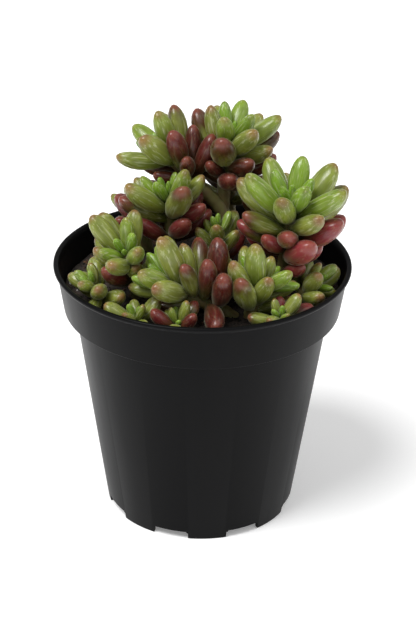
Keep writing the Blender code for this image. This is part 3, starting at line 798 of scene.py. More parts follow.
@dataclass(frozen=True)
class LeafFlesh:
    """Living succulent leaf: a thin waxy skin over wet, half-clear flesh.

    The eye gets a broad soft gloss, light that bleeds through the edges, pale threads
    along the leaf, and red that gathers at old tips.
    """

    heart: str = "#7FA22C"
    grown: str = "#878F3C"
    # Dark green: painted shade towards each leaf's base, and the tone of its cloudy patches
    shade: str = "#374510"
    thread: str = "#D4D7B2"
    brown: str = "#3E2A0C"
    maroon: str = "#45170D"
    rose: str = "#8B3239"
    tip: str = "#8E4A3C"
    bloom: str = "#E9ECCB"
    gloss_least: float = 0.24
    gloss_most: float = 0.40
    apart: tuple[float, float, float] = (31.0, 17.0, 23.0)

    def material(self) -> Material:
        """Build the node material.

        Returns:
            The material, which reads each leaf's own attributes.
        """
        finish = {
            "IOR": 1.42,
            "Coat Weight": 0.20,
            "Coat Roughness": 0.14,
            "Subsurface Weight": 0.45,
            "Subsurface Radius": (0.8, 1.0, 0.25),
            "Subsurface Scale": 0.0020,
            # The wax bloom whitens a leaf's outline
            "Sheen Weight": 0.34,
            "Sheen Roughness": 0.28,
            "Sheen Tint": linear(self.bloom),
        }
        made, tree, shader = new_material("living_leaf_waxy_skin", finish)
        read = self.patterns(tree)
        shares = self.shares(tree, read)
        greens = (
            ("grown", self.grown),
            # Painted shade: darker green towards the leaf's base
            ("shaded_base", self.shade),
            ("cloudy", self.shade),
            ("pale", self.thread),
        )
        reds = (
            ("rosy", self.rose),
            ("streaked", self.thread),
            ("unripe", self.brown),
            ("freckled", self.tip),
        )
        green = self.layered(tree, shares, linear(self.heart), greens)
        red = self.layered(tree, shares, linear(self.maroon), reds)
        whole = (("browned", self.brown), ("reddened", red), ("tipped", self.tip))
        color = self.layered(tree, shares, green, whole)
        tree.links.new(color, shader.inputs["Base Color"])
        # Wax lies a little unevenly, so the gloss breaks up
        levels = {0: read["clouds"], 1: NOISE_LOW, 2: NOISE_HIGH}
        levels |= {3: self.gloss_least, 4: self.gloss_most}
        gloss = add_node(tree, "ShaderNodeMapRange", inputs=levels)
        tree.links.new(gloss.outputs[0], shader.inputs["Roughness"])
        ridges = {"Strength": 0.25, "Distance": 0.0002, "Height": read["threads"]}
        bump = add_node(tree, "ShaderNodeBump", inputs=ridges)
        tree.links.new(bump.outputs[0], shader.inputs["Normal"])
        return made

    def patterns(self, tree: NodeTree) -> dict[str, NodeSocket]:
        """Read the leaf's own numbers, and draw the patterns under its skin.

        Args:
            tree: the material's tree.

        Returns:
            What tints follow, by name.
        """
        read = {
            name: add_node(tree, "ShaderNodeAttribute", {"attribute_name": name}).outputs["Fac"]
            for name in ("age", "blush", "rosy", "chance", "along")
        }
        place = add_node(tree, "ShaderNodeAttribute", {"attribute_name": "place"})
        # The pattern of each leaf is moved to a place of its own
        moved = add_node(
            tree,
            "ShaderNodeVectorMath",
            {"operation": "MULTIPLY_ADD"},
            {0: self.apart, 1: read["chance"], 2: place.outputs["Vector"]},
        )
        rows = (
            # Lengthwise threads under the skin, about 0.7 mm apart across an 8 mm leaf
            ("threads", (11.0, 11.0, 0.9), {"Detail": 3.0, "Roughness": 0.6, "Distortion": 0.25}),
            # Cloudy patches some 3 mm wide
            ("clouds", (2.6, 2.6, 2.6), {"Detail": 2.0}),
            # Fine freckles, some 0.5 mm across
            ("freckles", (16.0, 16.0, 16.0), {"Detail": 1.0}),
        )
        for name, scale, drawing in rows:
            drawn = add_node(
                tree, "ShaderNodeVectorMath", {"operation": "MULTIPLY"}, {0: moved, 1: scale}
            )
            inputs = {"Vector": drawn, "Scale": 1.0, **drawing}
            read[name] = add_node(tree, "ShaderNodeTexNoise", inputs=inputs).outputs["Fac"]
        # Red starts at the tip and runs down the leaf as the leaf ages, by uneven steps
        read["redness"] = read["along"]
        for name, gain in (("blush", 1.75), ("clouds", 0.5)):
            sum_of = {0: read[name], 1: gain, 2: read["redness"]}
            added = add_node(tree, "ShaderNodeMath", {"operation": "MULTIPLY_ADD"}, sum_of)
            read["redness"] = added.outputs[0]
        return read

    def shares(self, tree: NodeTree, read: dict[str, NodeSocket]) -> dict[str, NodeSocket]:
        """Say how strongly each tint shows.

        Args:
            tree: the material's tree.
            read: what tints follow.

        Returns:
            The share of each tint, by name.
        """
        # Each has what it follows, where that starts and where it is full, and the most it gives
        rows = {
            "grown": ("age", 0.05, 0.40, 1.0),
            # Painted shade: dark green towards the leaf's base, where shade falls among the crowded
            # leaves
            "shaded_base": ("along", 0.55, 0.05, 0.6),
            "cloudy": ("clouds", 0.38, 0.68, 0.35),
            "pale": ("threads", 0.50, 0.72, 0.55),
            "streaked": ("threads", 0.50, 0.72, 0.1375),
            # An old leaf is olive-brown at its base and reddest at its tip
            "unripe": ("along", 0.80, 0.10, 1.0),
            "freckled": ("freckles", 0.52, 0.70, 0.35),
            "browned": ("redness", 1.15, 1.60, 0.85),
            "reddened": ("redness", 1.35, 1.85, 1.0),
            # Every grown leaf has a small brown-pink tip
            "tipped": ("along", 0.86, 1.02, 0.65),
        }
        shares = {"rosy": read["rosy"]}
        for name, (follows, start, full, most) in rows.items():
            risen = add_node(
                tree,
                "ShaderNodeMapRange",
                {"interpolation_type": "SMOOTHSTEP"},
                {0: read[follows], 1: start, 2: full, 4: most},
            )
            shares[name] = risen.outputs[0]
        both = {0: shares["tipped"], 1: shares["grown"]}
        tipped = add_node(tree, "ShaderNodeMath", {"operation": "MULTIPLY"}, both)
        shares["tipped"] = tipped.outputs[0]
        return shares

    def layered(
        self,
        tree: NodeTree,
        shares: dict[str, NodeSocket],
        ground: Rgba | NodeSocket,
        tints: tuple[tuple[str, str | NodeSocket], ...],
    ) -> NodeSocket:
        """Lay tints over a ground, one on the other.

        Args:
            tree: the material's tree.
            shares: how strongly each tint shows, by name.
            ground: the lowest colour, or its socket.
            tints: the name of each tint's share, and its hex colour or socket.

        Returns:
            The colour's socket.
        """
        for share, tint in tints:
            over = linear(tint) if isinstance(tint, str) else tint
            mixed = add_node(
                tree,
                "ShaderNodeMix",
                {"data_type": "RGBA", "clamp_factor": True},
                {0: shares[share], 6: ground, 7: over},
            )
            ground = mixed.outputs[2]
        return ground


@dataclass(frozen=True)
class Mottled:
    """Dull rough surface in two shades that change in small patches.

    The eye gets peat, bark or stem that is never one flat colour and never shiny.
    """

    name: str
    first: str
    second: str
    patches_per_metre: float = 900.0
    contrast: tuple[float, float] = (0.35, 0.65)
    relief: float = 0.6
    relief_depth: float = 0.0003
    roughness: float = 0.95
    subsurface: float = 0.0

    def material(self) -> Material:
        """Build the node material.

        Returns:
            The material.
        """
        finish = {
            "Roughness": self.roughness,
            "Subsurface Weight": self.subsurface,
            "Subsurface Scale": 0.001,
        }
        made, tree, shader = new_material(self.name, finish)
        place = add_node(tree, "ShaderNodeTexCoord").outputs["Object"]
        drawing = {"Vector": place, "Scale": self.patches_per_metre, "Detail": 3.0}
        patches = add_node(tree, "ShaderNodeTexNoise", inputs=drawing)
        levels = {0: patches, 1: self.contrast[0], 2: self.contrast[1]}
        shade = add_node(tree, "ShaderNodeMapRange", inputs=levels)
        tints = {0: shade, 6: linear(self.first), 7: linear(self.second)}
        color = add_node(tree, "ShaderNodeMix", {"data_type": "RGBA"}, tints)
        tree.links.new(color.outputs[2], shader.inputs["Base Color"])
        ridges = {"Strength": self.relief, "Distance": self.relief_depth, "Height": patches}
        bump = add_node(tree, "ShaderNodeBump", inputs=ridges)
        tree.links.new(bump.outputs[0], shader.inputs["Normal"])
        return made


# Fleshy stem: green to brown in mottles some 2 mm wide, with a little light inside
STEM_BARK = Mottled(
    "fleshy_stem_bark", "#7C8448", "#6A4A34", patches_per_metre=420.0, contrast=(0.0, 1.0),
    relief=0.4, roughness=0.6, subsurface=0.15,
)


@dataclass(frozen=True)
class BlackPolypropylene:
    """Injection-moulded polypropylene with carbon black: satin, faintly flecked, dusty."""

    body: str = "#0C0C0D"
    dust: str = "#232120"
    dust_from: float = 0.48
    dust_full: float = 0.85
    most_dust: float = 0.12
    roughness_least: float = 0.31
    roughness_most: float = 0.43
    grain_per_metre: float = 2400.0
    flow_per_metre: float = 60.0
    flow_drawn: tuple[float, float, float] = (1.0, 1.0, 0.18)

    def material(self) -> Material:
        """Build the node material.

        Returns:
            The material.
        """
        finish = {"IOR": 1.49, "Specular IOR Level": 0.07}
        made, tree, shader = new_material("moulded_black_polypropylene", finish)
        place = add_node(tree, "ShaderNodeTexCoord").outputs["Object"]
        # Dull moulded grain about 0.4 mm across
        fine = {"Vector": place, "Scale": self.grain_per_metre, "Detail": 2.0}
        grain = add_node(tree, "ShaderNodeTexNoise", inputs=fine)
        # Upright flow marks of the moulding, some 15 mm wide
        drawn = add_node(
            tree, "ShaderNodeVectorMath", {"operation": "MULTIPLY"}, {0: place, 1: self.flow_drawn}
        )
        broad = {"Vector": drawn, "Scale": self.flow_per_metre, "Detail": 4.0}
        flow = add_node(tree, "ShaderNodeTexNoise", inputs=broad)
        dusty = add_node(
            tree,
            "ShaderNodeMapRange",
            {"interpolation_type": "SMOOTHSTEP"},
            {0: flow, 1: self.dust_from, 2: self.dust_full, 4: self.most_dust},
        )
        tints = {0: dusty, 6: linear(self.body), 7: linear(self.dust)}
        color = add_node(tree, "ShaderNodeMix", {"data_type": "RGBA"}, tints)
        tree.links.new(color.outputs[2], shader.inputs["Base Color"])
        levels = {0: flow, 1: NOISE_LOW, 2: NOISE_HIGH}
        levels |= {3: self.roughness_least, 4: self.roughness_most}
        dull = add_node(tree, "ShaderNodeMapRange", inputs=levels)
        tree.links.new(dull.outputs[0], shader.inputs["Roughness"])
        ridges = {"Strength": 0.10, "Distance": 0.00008, "Height": grain}
        bump = add_node(tree, "ShaderNodeBump", inputs=ridges)
        tree.links.new(bump.outputs[0], shader.inputs["Normal"])
        return made


@dataclass
class LeafyStems:
    """All plantlets: waxy leaves set by the rule, on their fleshy stems."""

    rule: LeafRule = field(default_factory=LeafRule)
    sides: int = 16
    rings: int = 12
    thickness_share: float = 0.88
    upper_face: float = 0.86
    lower_face: float = 1.06
    bluntness: float = 1.88
    stem_points: int = 40
    stem_sides: int = 14
    blush_spread: float = 0.10
    blush_over: float = 0.42
    rosy_spread: float = 0.3
    knob_height: float = 0.00012
    knobs_per_metre: float = 1900.0
    seed: int = 11

    def build(self) -> None:
        """Build and dress every plantlet."""
        leaves = self.rule.all_leaves()
        LOG.info("the rule keeps %d leaves", len(leaves.age))
        flesh = LeafFlesh().material()
        bark = STEM_BARK.material()
        template = self.leaf_template()
        leaf_tree = self.leaf_tree()
        stem_tree = self.stem_tree()
        for index, name in enumerate(NODES):
            mine = leaves.only(NODE_OF[leaves.shoot] == index)
            piece = self.leaves_of(name, mine, leaf_tree, template, flesh)
            hand_over(piece, (name,))
            hand_over(self.stem_of(name, stem_tree, bark))
        bpy.data.objects.remove(template, do_unlink=True)

    def leaf_template(self) -> Object:
        """Model one leaf of unit length and girth, full towards its tip and ending in a soft point.

        Returns:
            The leaf, base at the origin, length along Z and upper side towards Y.
        """
        shape = bmesh.new()
        bmesh.ops.create_uvsphere(shape, u_segments=self.sides, v_segments=self.rings, radius=1.0)
        along = []
        places = []
        for vert in shape.verts:
            at = (1.0 + vert.co.z) / 2.0
            full = self.rule.fullness(at) / self.rule.facet_gain
            blunt = (1.0 - abs(vert.co.z) ** self.bluntness) ** (1.0 / self.bluntness)
            ring = math.hypot(vert.co.x, vert.co.y) + TINY
            face = self.upper_face if vert.co.y > 0.0 else self.lower_face
            width = vert.co.x / ring * blunt * 0.5 * full
            depth = vert.co.y / ring * blunt * 0.5 * full * self.thickness_share * face
            vert.co = Vector((width, depth, at))
            along.append(at)
            places.append((width, depth, at))
        mesh = mesh_from("leaf_template", shape)
        mesh.attributes.new("along", "FLOAT", "POINT").data.foreach_set("value", along)
        place = mesh.attributes.new("place", "FLOAT_VECTOR", "POINT")
        place.data.foreach_set("vector", np.array(places, np.float32).ravel())
        return add_object("leaf_template", mesh)

    def leaf_tree(self) -> NodeTree:
        """Build the tree that sets a leaf on every point and curls it inwards.

        Returns:
            The tree, with the leaf, its curl and its material as inputs.
        """
        tree, given = new_tree(
            "set_leaves",
            {"Leaf": "NodeSocketObject", "Curl": "NodeSocketFloat", "Flesh": "NodeSocketMaterial"},
        )
        leaf = add_node(tree, "GeometryNodeObjectInfo", inputs={"Object": given["Leaf"]})
        kinds = dict.fromkeys(("way", "upper", "size"), "FLOAT_VECTOR") | {"along": "FLOAT"}
        way, upper, size, along = (
            add_node(tree, "GeometryNodeInputNamedAttribute", {"data_type": kind}, {"Name": name})
            for name, kind in kinds.items()
        )
        turn = add_node(
            tree,
            "FunctionNodeAxesToRotation",
            {"primary_axis": "Z", "secondary_axis": "Y"},
            {0: way, 1: upper},
        )
        placed = add_node(
            tree,
            "GeometryNodeInstanceOnPoints",
            inputs={
                "Points": given["Geometry"],
                "Instance": leaf.outputs["Geometry"],
                "Rotation": turn,
                "Scale": size,
            },
        )
        real = add_node(tree, "GeometryNodeRealizeInstances", inputs={"Geometry": placed})
        # The curl grows with the square of the place along the leaf
        length = add_node(tree, "ShaderNodeSeparateXYZ", inputs={0: size})
        bend = along
        for factor in (along, length.outputs["Z"], given["Curl"]):
            both = {0: bend, 1: factor}
            bend = add_node(tree, "ShaderNodeMath", {"operation": "MULTIPLY"}, both)
        inward = add_node(
            tree, "ShaderNodeVectorMath", {"operation": "SCALE"}, {0: upper, "Scale": bend}
        )
        curled = add_node(
            tree, "GeometryNodeSetPosition", inputs={"Geometry": real, "Offset": inward}
        )
        return close_tree(tree, curled, given["Flesh"])

    def leaves_of(
        self, name: str, leaves: Leaves, tree: NodeTree, template: Object, flesh: Material
    ) -> Object:
        """Set the leaves of one plantlet.

        Args:
            name: the CAD node.
            leaves: its leaves.
            tree: the tree that sets them.
            template: the leaf.
            flesh: its material.

        Returns:
            The piece.
        """
        chance = np.random.default_rng(self.seed + NODES.index(name)).random((len(leaves.age), 2))
        blush = BLUSHES.get(name, OTHER_BLUSH)
        late = leaves.age - blush.starts_at + self.blush_spread * (chance[:, 0] - 0.5)
        rosy = blush.rosy + self.rosy_spread * (chance[:, 1] - 0.5)
        mesh = bpy.data.meshes.new(f"{name}_leaves")
        mesh.from_pydata(leaves.base.tolist(), [], [])
        vectors = {
            "way": leaves.way,
            "upper": leaves.upward(),
            "size": np.stack([leaves.girth, leaves.girth, leaves.length], axis=1),
        }
        for label, rows in vectors.items():
            made = mesh.attributes.new(label, "FLOAT_VECTOR", "POINT")
            made.data.foreach_set("vector", rows.astype(np.float32).ravel())
        numbers = {
            "age": leaves.age,
            "blush": np.clip(late / self.blush_over, 0.0, 1.0),
            "rosy": np.clip(rosy, 0.0, 1.0),
            "chance": chance[:, 1],
        }
        for label, values in numbers.items():
            made = mesh.attributes.new(label, "FLOAT", "POINT")
            made.data.foreach_set("value", values.astype(np.float32))
        piece = add_object(f"{name}_leaves", mesh)
        return grow(piece, tree, {"Leaf": template, "Curl": self.rule.curl, "Flesh": flesh})

    def stem_tree(self) -> NodeTree:
        """Build the tree that turns a line with radii into a closed stem.

        Returns:
            The tree, with the number of sides and the material as inputs.
        """
        tree, given = new_tree(
            "thicken_stems", {"Sides": "NodeSocketInt", "Bark": "NodeSocketMaterial"}
        )
        line = add_node(tree, "GeometryNodeMeshToCurve", inputs={"Mesh": given["Geometry"]})
        radius = add_node(
            tree, "GeometryNodeInputNamedAttribute", {"data_type": "FLOAT"}, {"Name": "thickness"}
        )
        ring = add_node(
            tree,
            "GeometryNodeCurvePrimitiveCircle",
            inputs={"Resolution": given["Sides"], "Radius": 1.0},
        )
        tube = add_node(
            tree,
            "GeometryNodeCurveToMesh",
            inputs={"Curve": line, "Profile Curve": ring, "Scale": radius, "Fill Caps": True},
        )
        return close_tree(tree, tube, given["Bark"])

    def stem_of(self, name: str, tree: NodeTree, bark: Material) -> Object:
        """Make the stem of one plantlet, with its branch if it has one.

        Args:
            name: the CAD node.
            tree: the tree that thickens it.
            bark: its material.

        Returns:
            The piece.
        """
        points = []
        edges = []
        radii = []
        for shoot in SHOOTS:
            if shoot.name != name:
                continue
            end = self.rule.stem_walk(shoot)[0][-1] - self.rule.stem_end
            depths = np.linspace(0.0, end, self.stem_points)
            first = len(points)
            points.extend(self.rule.stem_path(shoot, depths)[0].tolist())
            edges.extend((at, at + 1) for at in range(first, len(points) - 1))
            grown = np.clip(depths / self.rule.stem_thickens_over, 0.0, 1.0)
            thicker = self.rule.stem_radius_old - self.rule.stem_radius_tip
            knobs = self.knob_height * np.sin(depths * self.knobs_per_metre)
            radii.extend((self.rule.stem_radius_tip + thicker * grown + knobs).tolist())
        mesh = bpy.data.meshes.new(f"{name}_stem")
        mesh.from_pydata(points, edges, [])
        mesh.attributes.new("thickness", "FLOAT", "POINT").data.foreach_set("value", radii)
        piece = grow(
            add_object(f"{name}_stem", mesh), tree, {"Sides": self.stem_sides, "Bark": bark}
        )
        piece.data.shade_smooth()
        return piece


@dataclass
class NurseryPot:
    """The thin-walled nursery pot: tapered cup, stepped band, rolled lip and notched foot."""

    sizes: PotSizes = field(default_factory=PotSizes)
    steps: int = 192
    notches: int = 8
    notch_width: float = 0.0130
    notch_height: float = 0.0030
    first_notch_deg: float = -62.4
    drain_radius: float = 0.0030
    drain_ring_radius: float = 0.0245
    lip_width: float = 0.00176
    lip_fall: float = 0.00033
    lip_flat: float = 0.00121
    lip_edge: float = 0.000385
    lip_side: float = 0.00099
    lip_foot: float = 0.00216
    edge_round: float = 0.00035
    edge_share: float = 0.4
    edge_turns: tuple[float, ...] = (0.0, 0.33, 0.67, 1.0)
    notch_bevel: float = 0.0006
    cutter_reach: float = 3.0
    drain_sides: int = 32
    merged_within: float = 0.000002
    smooth_below_deg: float = 32.0

    def build(self) -> None:
        """Build and dress the pot."""
        pot = self.turned()
        cutters = bpy.data.collections.new("pot_cutters")
        bpy.context.scene.collection.children.link(cutters)
        self.notch_cutters(cutters)
        self.drain_cutters(cutters)
        cut = pot.modifiers.new("Cut", "BOOLEAN")
        cut.operation = "DIFFERENCE"
        cut.operand_type = "COLLECTION"
        cut.collection = cutters
        cut.solver = "EXACT"
        freeze(pot)
        for cutter in list(cutters.objects):
            bpy.data.objects.remove(cutter, do_unlink=True)
        bpy.data.collections.remove(cutters)
        mesh = pot.data
        mesh.materials.clear()
        mesh.materials.append(BlackPolypropylene().material())
        mesh.shade_smooth()
        mesh.set_sharp_from_angle(angle=math.radians(self.smooth_below_deg))
        hand_over(pot, ("pot",))

    def profile(self) -> list[tuple[float, float]]:
        """Draw the half section, from the middle of the floor up the inside and down the outside.

        Returns:
            Corners as radius and height.
        """
        s = self.sizes
        floor_top = s.floor_underside + s.floor_thickness
        foot_inside = s.foot_radius - s.foot_ring_width
        return [
            (0.0, floor_top),
            (float(s.inner_radius(floor_top)), floor_top),
            (s.body_top_radius - s.wall, s.step + s.wall),
            (s.band_foot_radius - s.wall, s.step + s.shoulder_height),
            (s.band_top_radius - s.wall, s.height - s.lip_height),
            (s.rim_radius - self.lip_width, s.height - self.lip_fall),
            (s.rim_radius - self.lip_flat, s.height),
            (s.rim_radius - self.lip_edge, s.height),
            (s.rim_radius, s.height - self.lip_edge),
            (s.rim_radius, s.height - self.lip_side),
            (s.rim_radius - self.lip_edge, s.height - s.lip_height),
            (s.band_top_radius, s.height - self.lip_foot),
            (s.band_foot_radius, s.step),
            (s.body_top_radius, s.step - s.shoulder_fall),
            (s.foot_radius, 0.0),
            (foot_inside, 0.0),
            (foot_inside, s.floor_underside),
            (0.0, s.floor_underside),
        ]

    def rounded(self) -> list[tuple[float, float]]:
        """Round the section's corners.

        Returns:
            The finished half section.
        """
        corners = [Vector(corner) for corner in self.profile()]
        finished = [corners[0]]
        for before, corner, after in zip(corners, corners[1:], corners[2:]):
            back = before - corner
            ahead = after - corner
            shortest = min(back.length, ahead.length)
            reach = min(self.edge_round, self.edge_share * shortest)
            start = corner + back.normalized() * reach
            end = corner + ahead.normalized() * reach
            for share in self.edge_turns:
                first = start.lerp(corner, share)
                second = corner.lerp(end, share)
                finished.append(first.lerp(second, share))
        finished.append(corners[-1])
        return [(point.x, point.y) for point in finished]

    def turned(self) -> Object:
        """Turn the section about the pot's axis.

        Returns:
            The uncut pot.
        """
        shape = bmesh.new()
        section = [shape.verts.new((radius, 0.0, height)) for radius, height in self.rounded()]
        edges = [shape.edges.new(pair) for pair in zip(section, section[1:])]
        bmesh.ops.spin(
            shape,
            geom=section + edges,
            axis=(0.0, 0.0, 1.0),
            cent=(0.0, 0.0, 0.0),
            steps=self.steps,
            angle=math.tau,
            use_merge=True,
        )
        bmesh.ops.remove_doubles(shape, verts=shape.verts, dist=self.merged_within)
        bmesh.ops.recalc_face_normals(shape, faces=shape.faces)
        return add_object("nursery_pot", mesh_from("nursery_pot", shape))

    def notch_cutters(self, home: Collection) -> None:
        """Place the bars that cut the notches, their upper edges bevelled.

        Args:
            home: the collection that they go into.
        """
        length = self.cutter_reach * self.sizes.foot_radius
        size = (length, self.notch_width, self.cutter_reach * self.notch_height, 1.0)
        for at in range(self.notches // 2):
            turn = math.radians(self.first_notch_deg + 360.0 / self.notches * at)
            place = Matrix.Rotation(turn, 4, "Z")
            place = place @ Matrix.Translation((0.0, 0.0, -self.notch_height / 2))
            shape = bmesh.new()
            bmesh.ops.create_cube(shape, size=1.0, matrix=place @ Matrix.Diagonal(size))
            top = [edge for edge in shape.edges if self.runs_along_top(edge, length)]
            bmesh.ops.bevel(shape, geom=top, offset=self.notch_bevel, segments=3, affect="EDGES")
            cutter = bpy.data.objects.new("notch_cutter", mesh_from("notch_cutter", shape))
            home.objects.link(cutter)

    def runs_along_top(self, edge: BMEdge, length: float) -> bool:
        """Say whether an edge is one of the two long upper edges of a bar of that length."""
        high = all(vert.co.z > 0.0 for vert in edge.verts)
        return high and edge.calc_length() > length / 2

    def drain_cutters(self, home: Collection) -> None:
        """Place the drills that cut the drain holes.

        Args:
            home: the collection that they go into.
        """
        middle = self.sizes.floor_underside + self.sizes.floor_thickness / 2
        for at in range(self.notches):
            turn = math.radians(self.first_notch_deg + 360.0 / self.notches * at)
            out = self.drain_ring_radius
            centre = Vector((out * math.cos(turn), out * math.sin(turn), middle))
            shape = bmesh.new()
            bmesh.ops.create_cone(
                shape,
                cap_ends=True,
                segments=self.drain_sides,
                radius1=self.drain_radius,
                radius2=self.drain_radius,
                depth=self.cutter_reach * self.sizes.floor_thickness,
                matrix=Matrix.Translation(centre),
            )
            cutter = bpy.data.objects.new("drain_cutter", mesh_from("drain_cutter", shape))
            home.objects.link(cutter)


class Grain(Enum):
    """What lies loose on the potting mix."""

    PEAT = "peat_crumbs"
    BARK = "bark_chips"
    PERLITE = "perlite_grains"


@dataclass(frozen=True)
class Scatter:
    """One kind of loose grain: its two shades and shape, and how thickly and how large it lies."""

    grain: Grain
    dark: str
    light: str
    level: int
    stretch: tuple[float, float, float]
    unevenness: float
    per_square_metre: float
    least: float
    most: float


SCATTERS = (
    Scatter(
        Grain.PEAT, dark="#15110E", light="#3A3029", level=1, stretch=(1.0, 0.85, 0.7),
        unevenness=0.30, per_square_metre=520000.0, least=0.00035, most=0.0011,
    ),
    Scatter(
        Grain.BARK, dark="#2A1B12", light="#6A4A33", level=1, stretch=(1.7, 0.8, 0.42),
        unevenness=0.22, per_square_metre=42000.0, least=0.0007, most=0.0017,
    ),
    Scatter(
        Grain.PERLITE, dark="#A9A79F", light="#E4E2DA", level=2, stretch=(1.0, 0.9, 0.85),
        unevenness=0.14, per_square_metre=9000.0, least=0.0005, most=0.0011,
    ),
)


@dataclass
class PottingMix:
    """The filling: a lumpy bed of peat with loose crumbs, bark and a little perlite on it."""

    sizes: PotSizes = field(default_factory=PotSizes)
    clearance: float = 0.0004
    rings: int = 56
    sectors: int = 180
    top_rings: int = 15
    top_sectors: int = 60
    top_clearance: float = 0.0016
    lump_height: float = 0.0011
    lump_sink: float = 0.35
    lumps_per_metre: float = 170.0
    lump_falloff: float = 0.9
    lump_finer_by: float = 2.1
    lump_layers: int = 4
    grain_roughness: float = 5.3
    grain_slice: float = 3.0
    seed: int = 5

    def build(self) -> None:
        """Build and dress the bed and what lies on it."""
        bed = add_object("potting_mix_bed", self.bed())
        tree = self.scatter_tree()
        for number, scatter in enumerate(SCATTERS):
            name = scatter.grain.value
            finish = Mottled(f"loose_{name}", scatter.dark, scatter.light).material()
            if scatter.grain is Grain.PEAT:
                bed.data.materials.append(finish)
            template = self.lump(scatter)
            values = {
                "Grain": template,
                "Density": scatter.per_square_metre,
                "Least": scatter.least,
                "Most": scatter.most,
                "Seed": self.seed + number,
                "Finish": finish,
            }
            hand_over(grow(add_object(name, self.top()), tree, values))
            bpy.data.objects.remove(template, do_unlink=True)
        hand_over(bed, ("soil",))

    def surface(self, out: float, turn: float) -> Vector:
        """Find a point of the lumpy surface.

        Args:
            out: distance from the axis.
            turn: angle about it.

        Returns:
            The point.
        """
        flat = Vector((out * math.cos(turn), out * math.sin(turn), 0.0))
        layers = (self.lump_falloff, self.lump_finer_by, self.lump_layers)
        place = flat * self.lumps_per_metre
        rise = noise.fractal(place, *layers, noise_basis="PERLIN_ORIGINAL") - self.lump_sink
        height = float(self.sizes.soil_height(out))
        return Vector((flat.x, flat.y, height + self.lump_height * rise))

    def skin(
        self, shape: BMesh, reach: float, rings: int, sectors: int
    ) -> tuple[BMVert, list[list[BMVert]]]:
        """Set the points of the lumpy surface.

        Args:
            shape: where they go.
            reach: the radius of the outermost ring.
            rings: the number of rings.
            sectors: the points in each.

        Returns:
            The middle point, and the rings from it outwards.
        """
        middle = shape.verts.new(self.surface(0.0, 0.0))
        turns = [math.tau * at / sectors for at in range(sectors)]
        loops = []
        for ring in range(1, rings + 1):
            out = reach * ring / rings
            loops.append([shape.verts.new(self.surface(out, turn)) for turn in turns])
        return middle, loops

    def cover(self, shape: BMesh, middle: BMVert, loops: list[list[BMVert]]) -> None:
        """Join a middle point and the rings round it by faces.

        Args:
            shape: where the faces go.
            middle: the middle point.
            loops: the rings, from the middle outwards.
        """
        sectors = len(loops[0])
        for at in range(sectors):
            after = (at + 1) % sectors
            shape.faces.new((middle, loops[0][at], loops[0][after]))
            for inner, outer in zip(loops, loops[1:]):
                shape.faces.new((inner[at], outer[at], outer[after], inner[after]))

    def bed(self) -> Mesh:
        """Model the whole filling as one closed solid.

        Returns:
            Its mesh.
        """
        s = self.sizes
        shape = bmesh.new()
        edge = s.soil_radius - self.clearance
        middle, loops = self.skin(shape, edge, self.rings, self.sectors)
        bottom = s.floor_underside + s.floor_thickness + self.clearance
        shoulder = s.step + s.shoulder_height + self.clearance
        below = (
            (float(s.inner_radius(shoulder)) - self.clearance, shoulder),
            (s.body_top_radius - s.wall - self.clearance, s.step + s.wall),
            (float(s.inner_radius(bottom)) - self.clearance, bottom),
        )
        turns = [math.tau * at / self.sectors for at in range(self.sectors)]
        for out, height in below:
            ring = [(out * math.cos(turn), out * math.sin(turn), height) for turn in turns]
            loops.append([shape.verts.new(point) for point in ring])
        self.cover(shape, middle, loops)
        foot = shape.verts.new((0.0, 0.0, bottom))
        for at, last in enumerate(loops[-1]):
            shape.faces.new((foot, loops[-1][(at + 1) % self.sectors], last))
        return mesh_from("potting_mix_bed", shape)

    def top(self) -> Mesh:
        """Model the part of the surface that loose grains lie on.

        Returns:
            Its mesh.
        """
        shape = bmesh.new()
        reach = self.sizes.soil_radius - self.top_clearance
        self.cover(shape, *self.skin(shape, reach, self.top_rings, self.top_sectors))
        return mesh_from("potting_mix_top", shape)

    def lump(self, scatter: Scatter) -> Object:
        """Model one rough grain a unit across.

        Args:
            scatter: what it is for.

        Returns:
            The grain.
        """
        shape = bmesh.new()
        bmesh.ops.create_icosphere(shape, subdivisions=scatter.level, radius=0.5)
        for number, vert in enumerate(shape.verts):
            place = vert.co * self.grain_roughness + Vector((number, 0.0, self.grain_slice))
            push = 1.0 + scatter.unevenness * noise.noise(place)
            vert.co = Vector(a * b for a, b in zip(vert.co * push, scatter.stretch))
        mesh = bpy.data.meshes.new("one_grain")
        shape.to_mesh(mesh)
        shape.free()
        return add_object("one_grain", mesh)

    def scatter_tree(self) -> NodeTree:
        """Build the tree that scatters grains over a surface.

        Returns:
            The tree, with the grain, its density, sizes, seed and finish as inputs.
        """
        tree, given = new_tree(
            "scatter_grains",
            {
                "Grain": "NodeSocketObject",
                "Density": "NodeSocketFloat",
                "Least": "NodeSocketFloat",
                "Most": "NodeSocketFloat",
                "Seed": "NodeSocketInt",
                "Finish": "NodeSocketMaterial",
            },
        )
        grain = add_node(tree, "GeometryNodeObjectInfo", inputs={"Object": given["Grain"]})
        points = add_node(
            tree,
            "GeometryNodeDistributePointsOnFaces",
            {"distribute_method": "RANDOM"},
            {"Mesh": given["Geometry"], "Density": given["Density"], "Seed": given["Seed"]},
        )
        turn = add_node(
            tree,
            "FunctionNodeRandomValue",
            {"data_type": "FLOAT_VECTOR"},
            {0: (0.0, 0.0, 0.0), 1: (math.tau, math.tau, math.tau), "Seed": given["Seed"]},
        )
        rotation = add_node(tree, "FunctionNodeEulerToRotation", inputs={0: turn})
        size = add_node(
            tree,
            "FunctionNodeRandomValue",
            {"data_type": "FLOAT"},
            {2: given["Least"], 3: given["Most"], "Seed": given["Seed"]},
        )
        placed = add_node(
            tree,
            "GeometryNodeInstanceOnPoints",
            inputs={
                "Points": points.outputs["Points"],
                "Instance": grain.outputs["Geometry"],
                "Rotation": rotation,
                "Scale": size.outputs[1],
            },
        )
        return close_tree(tree, placed, given["Finish"])


@dataclass(frozen=True)
class SoftLight:
    """One broad light: where it shines from, how wide it looks and how bright it is."""

    name: str
    come_from: tuple[float, float, float]
    width_deg: float
    strength: float


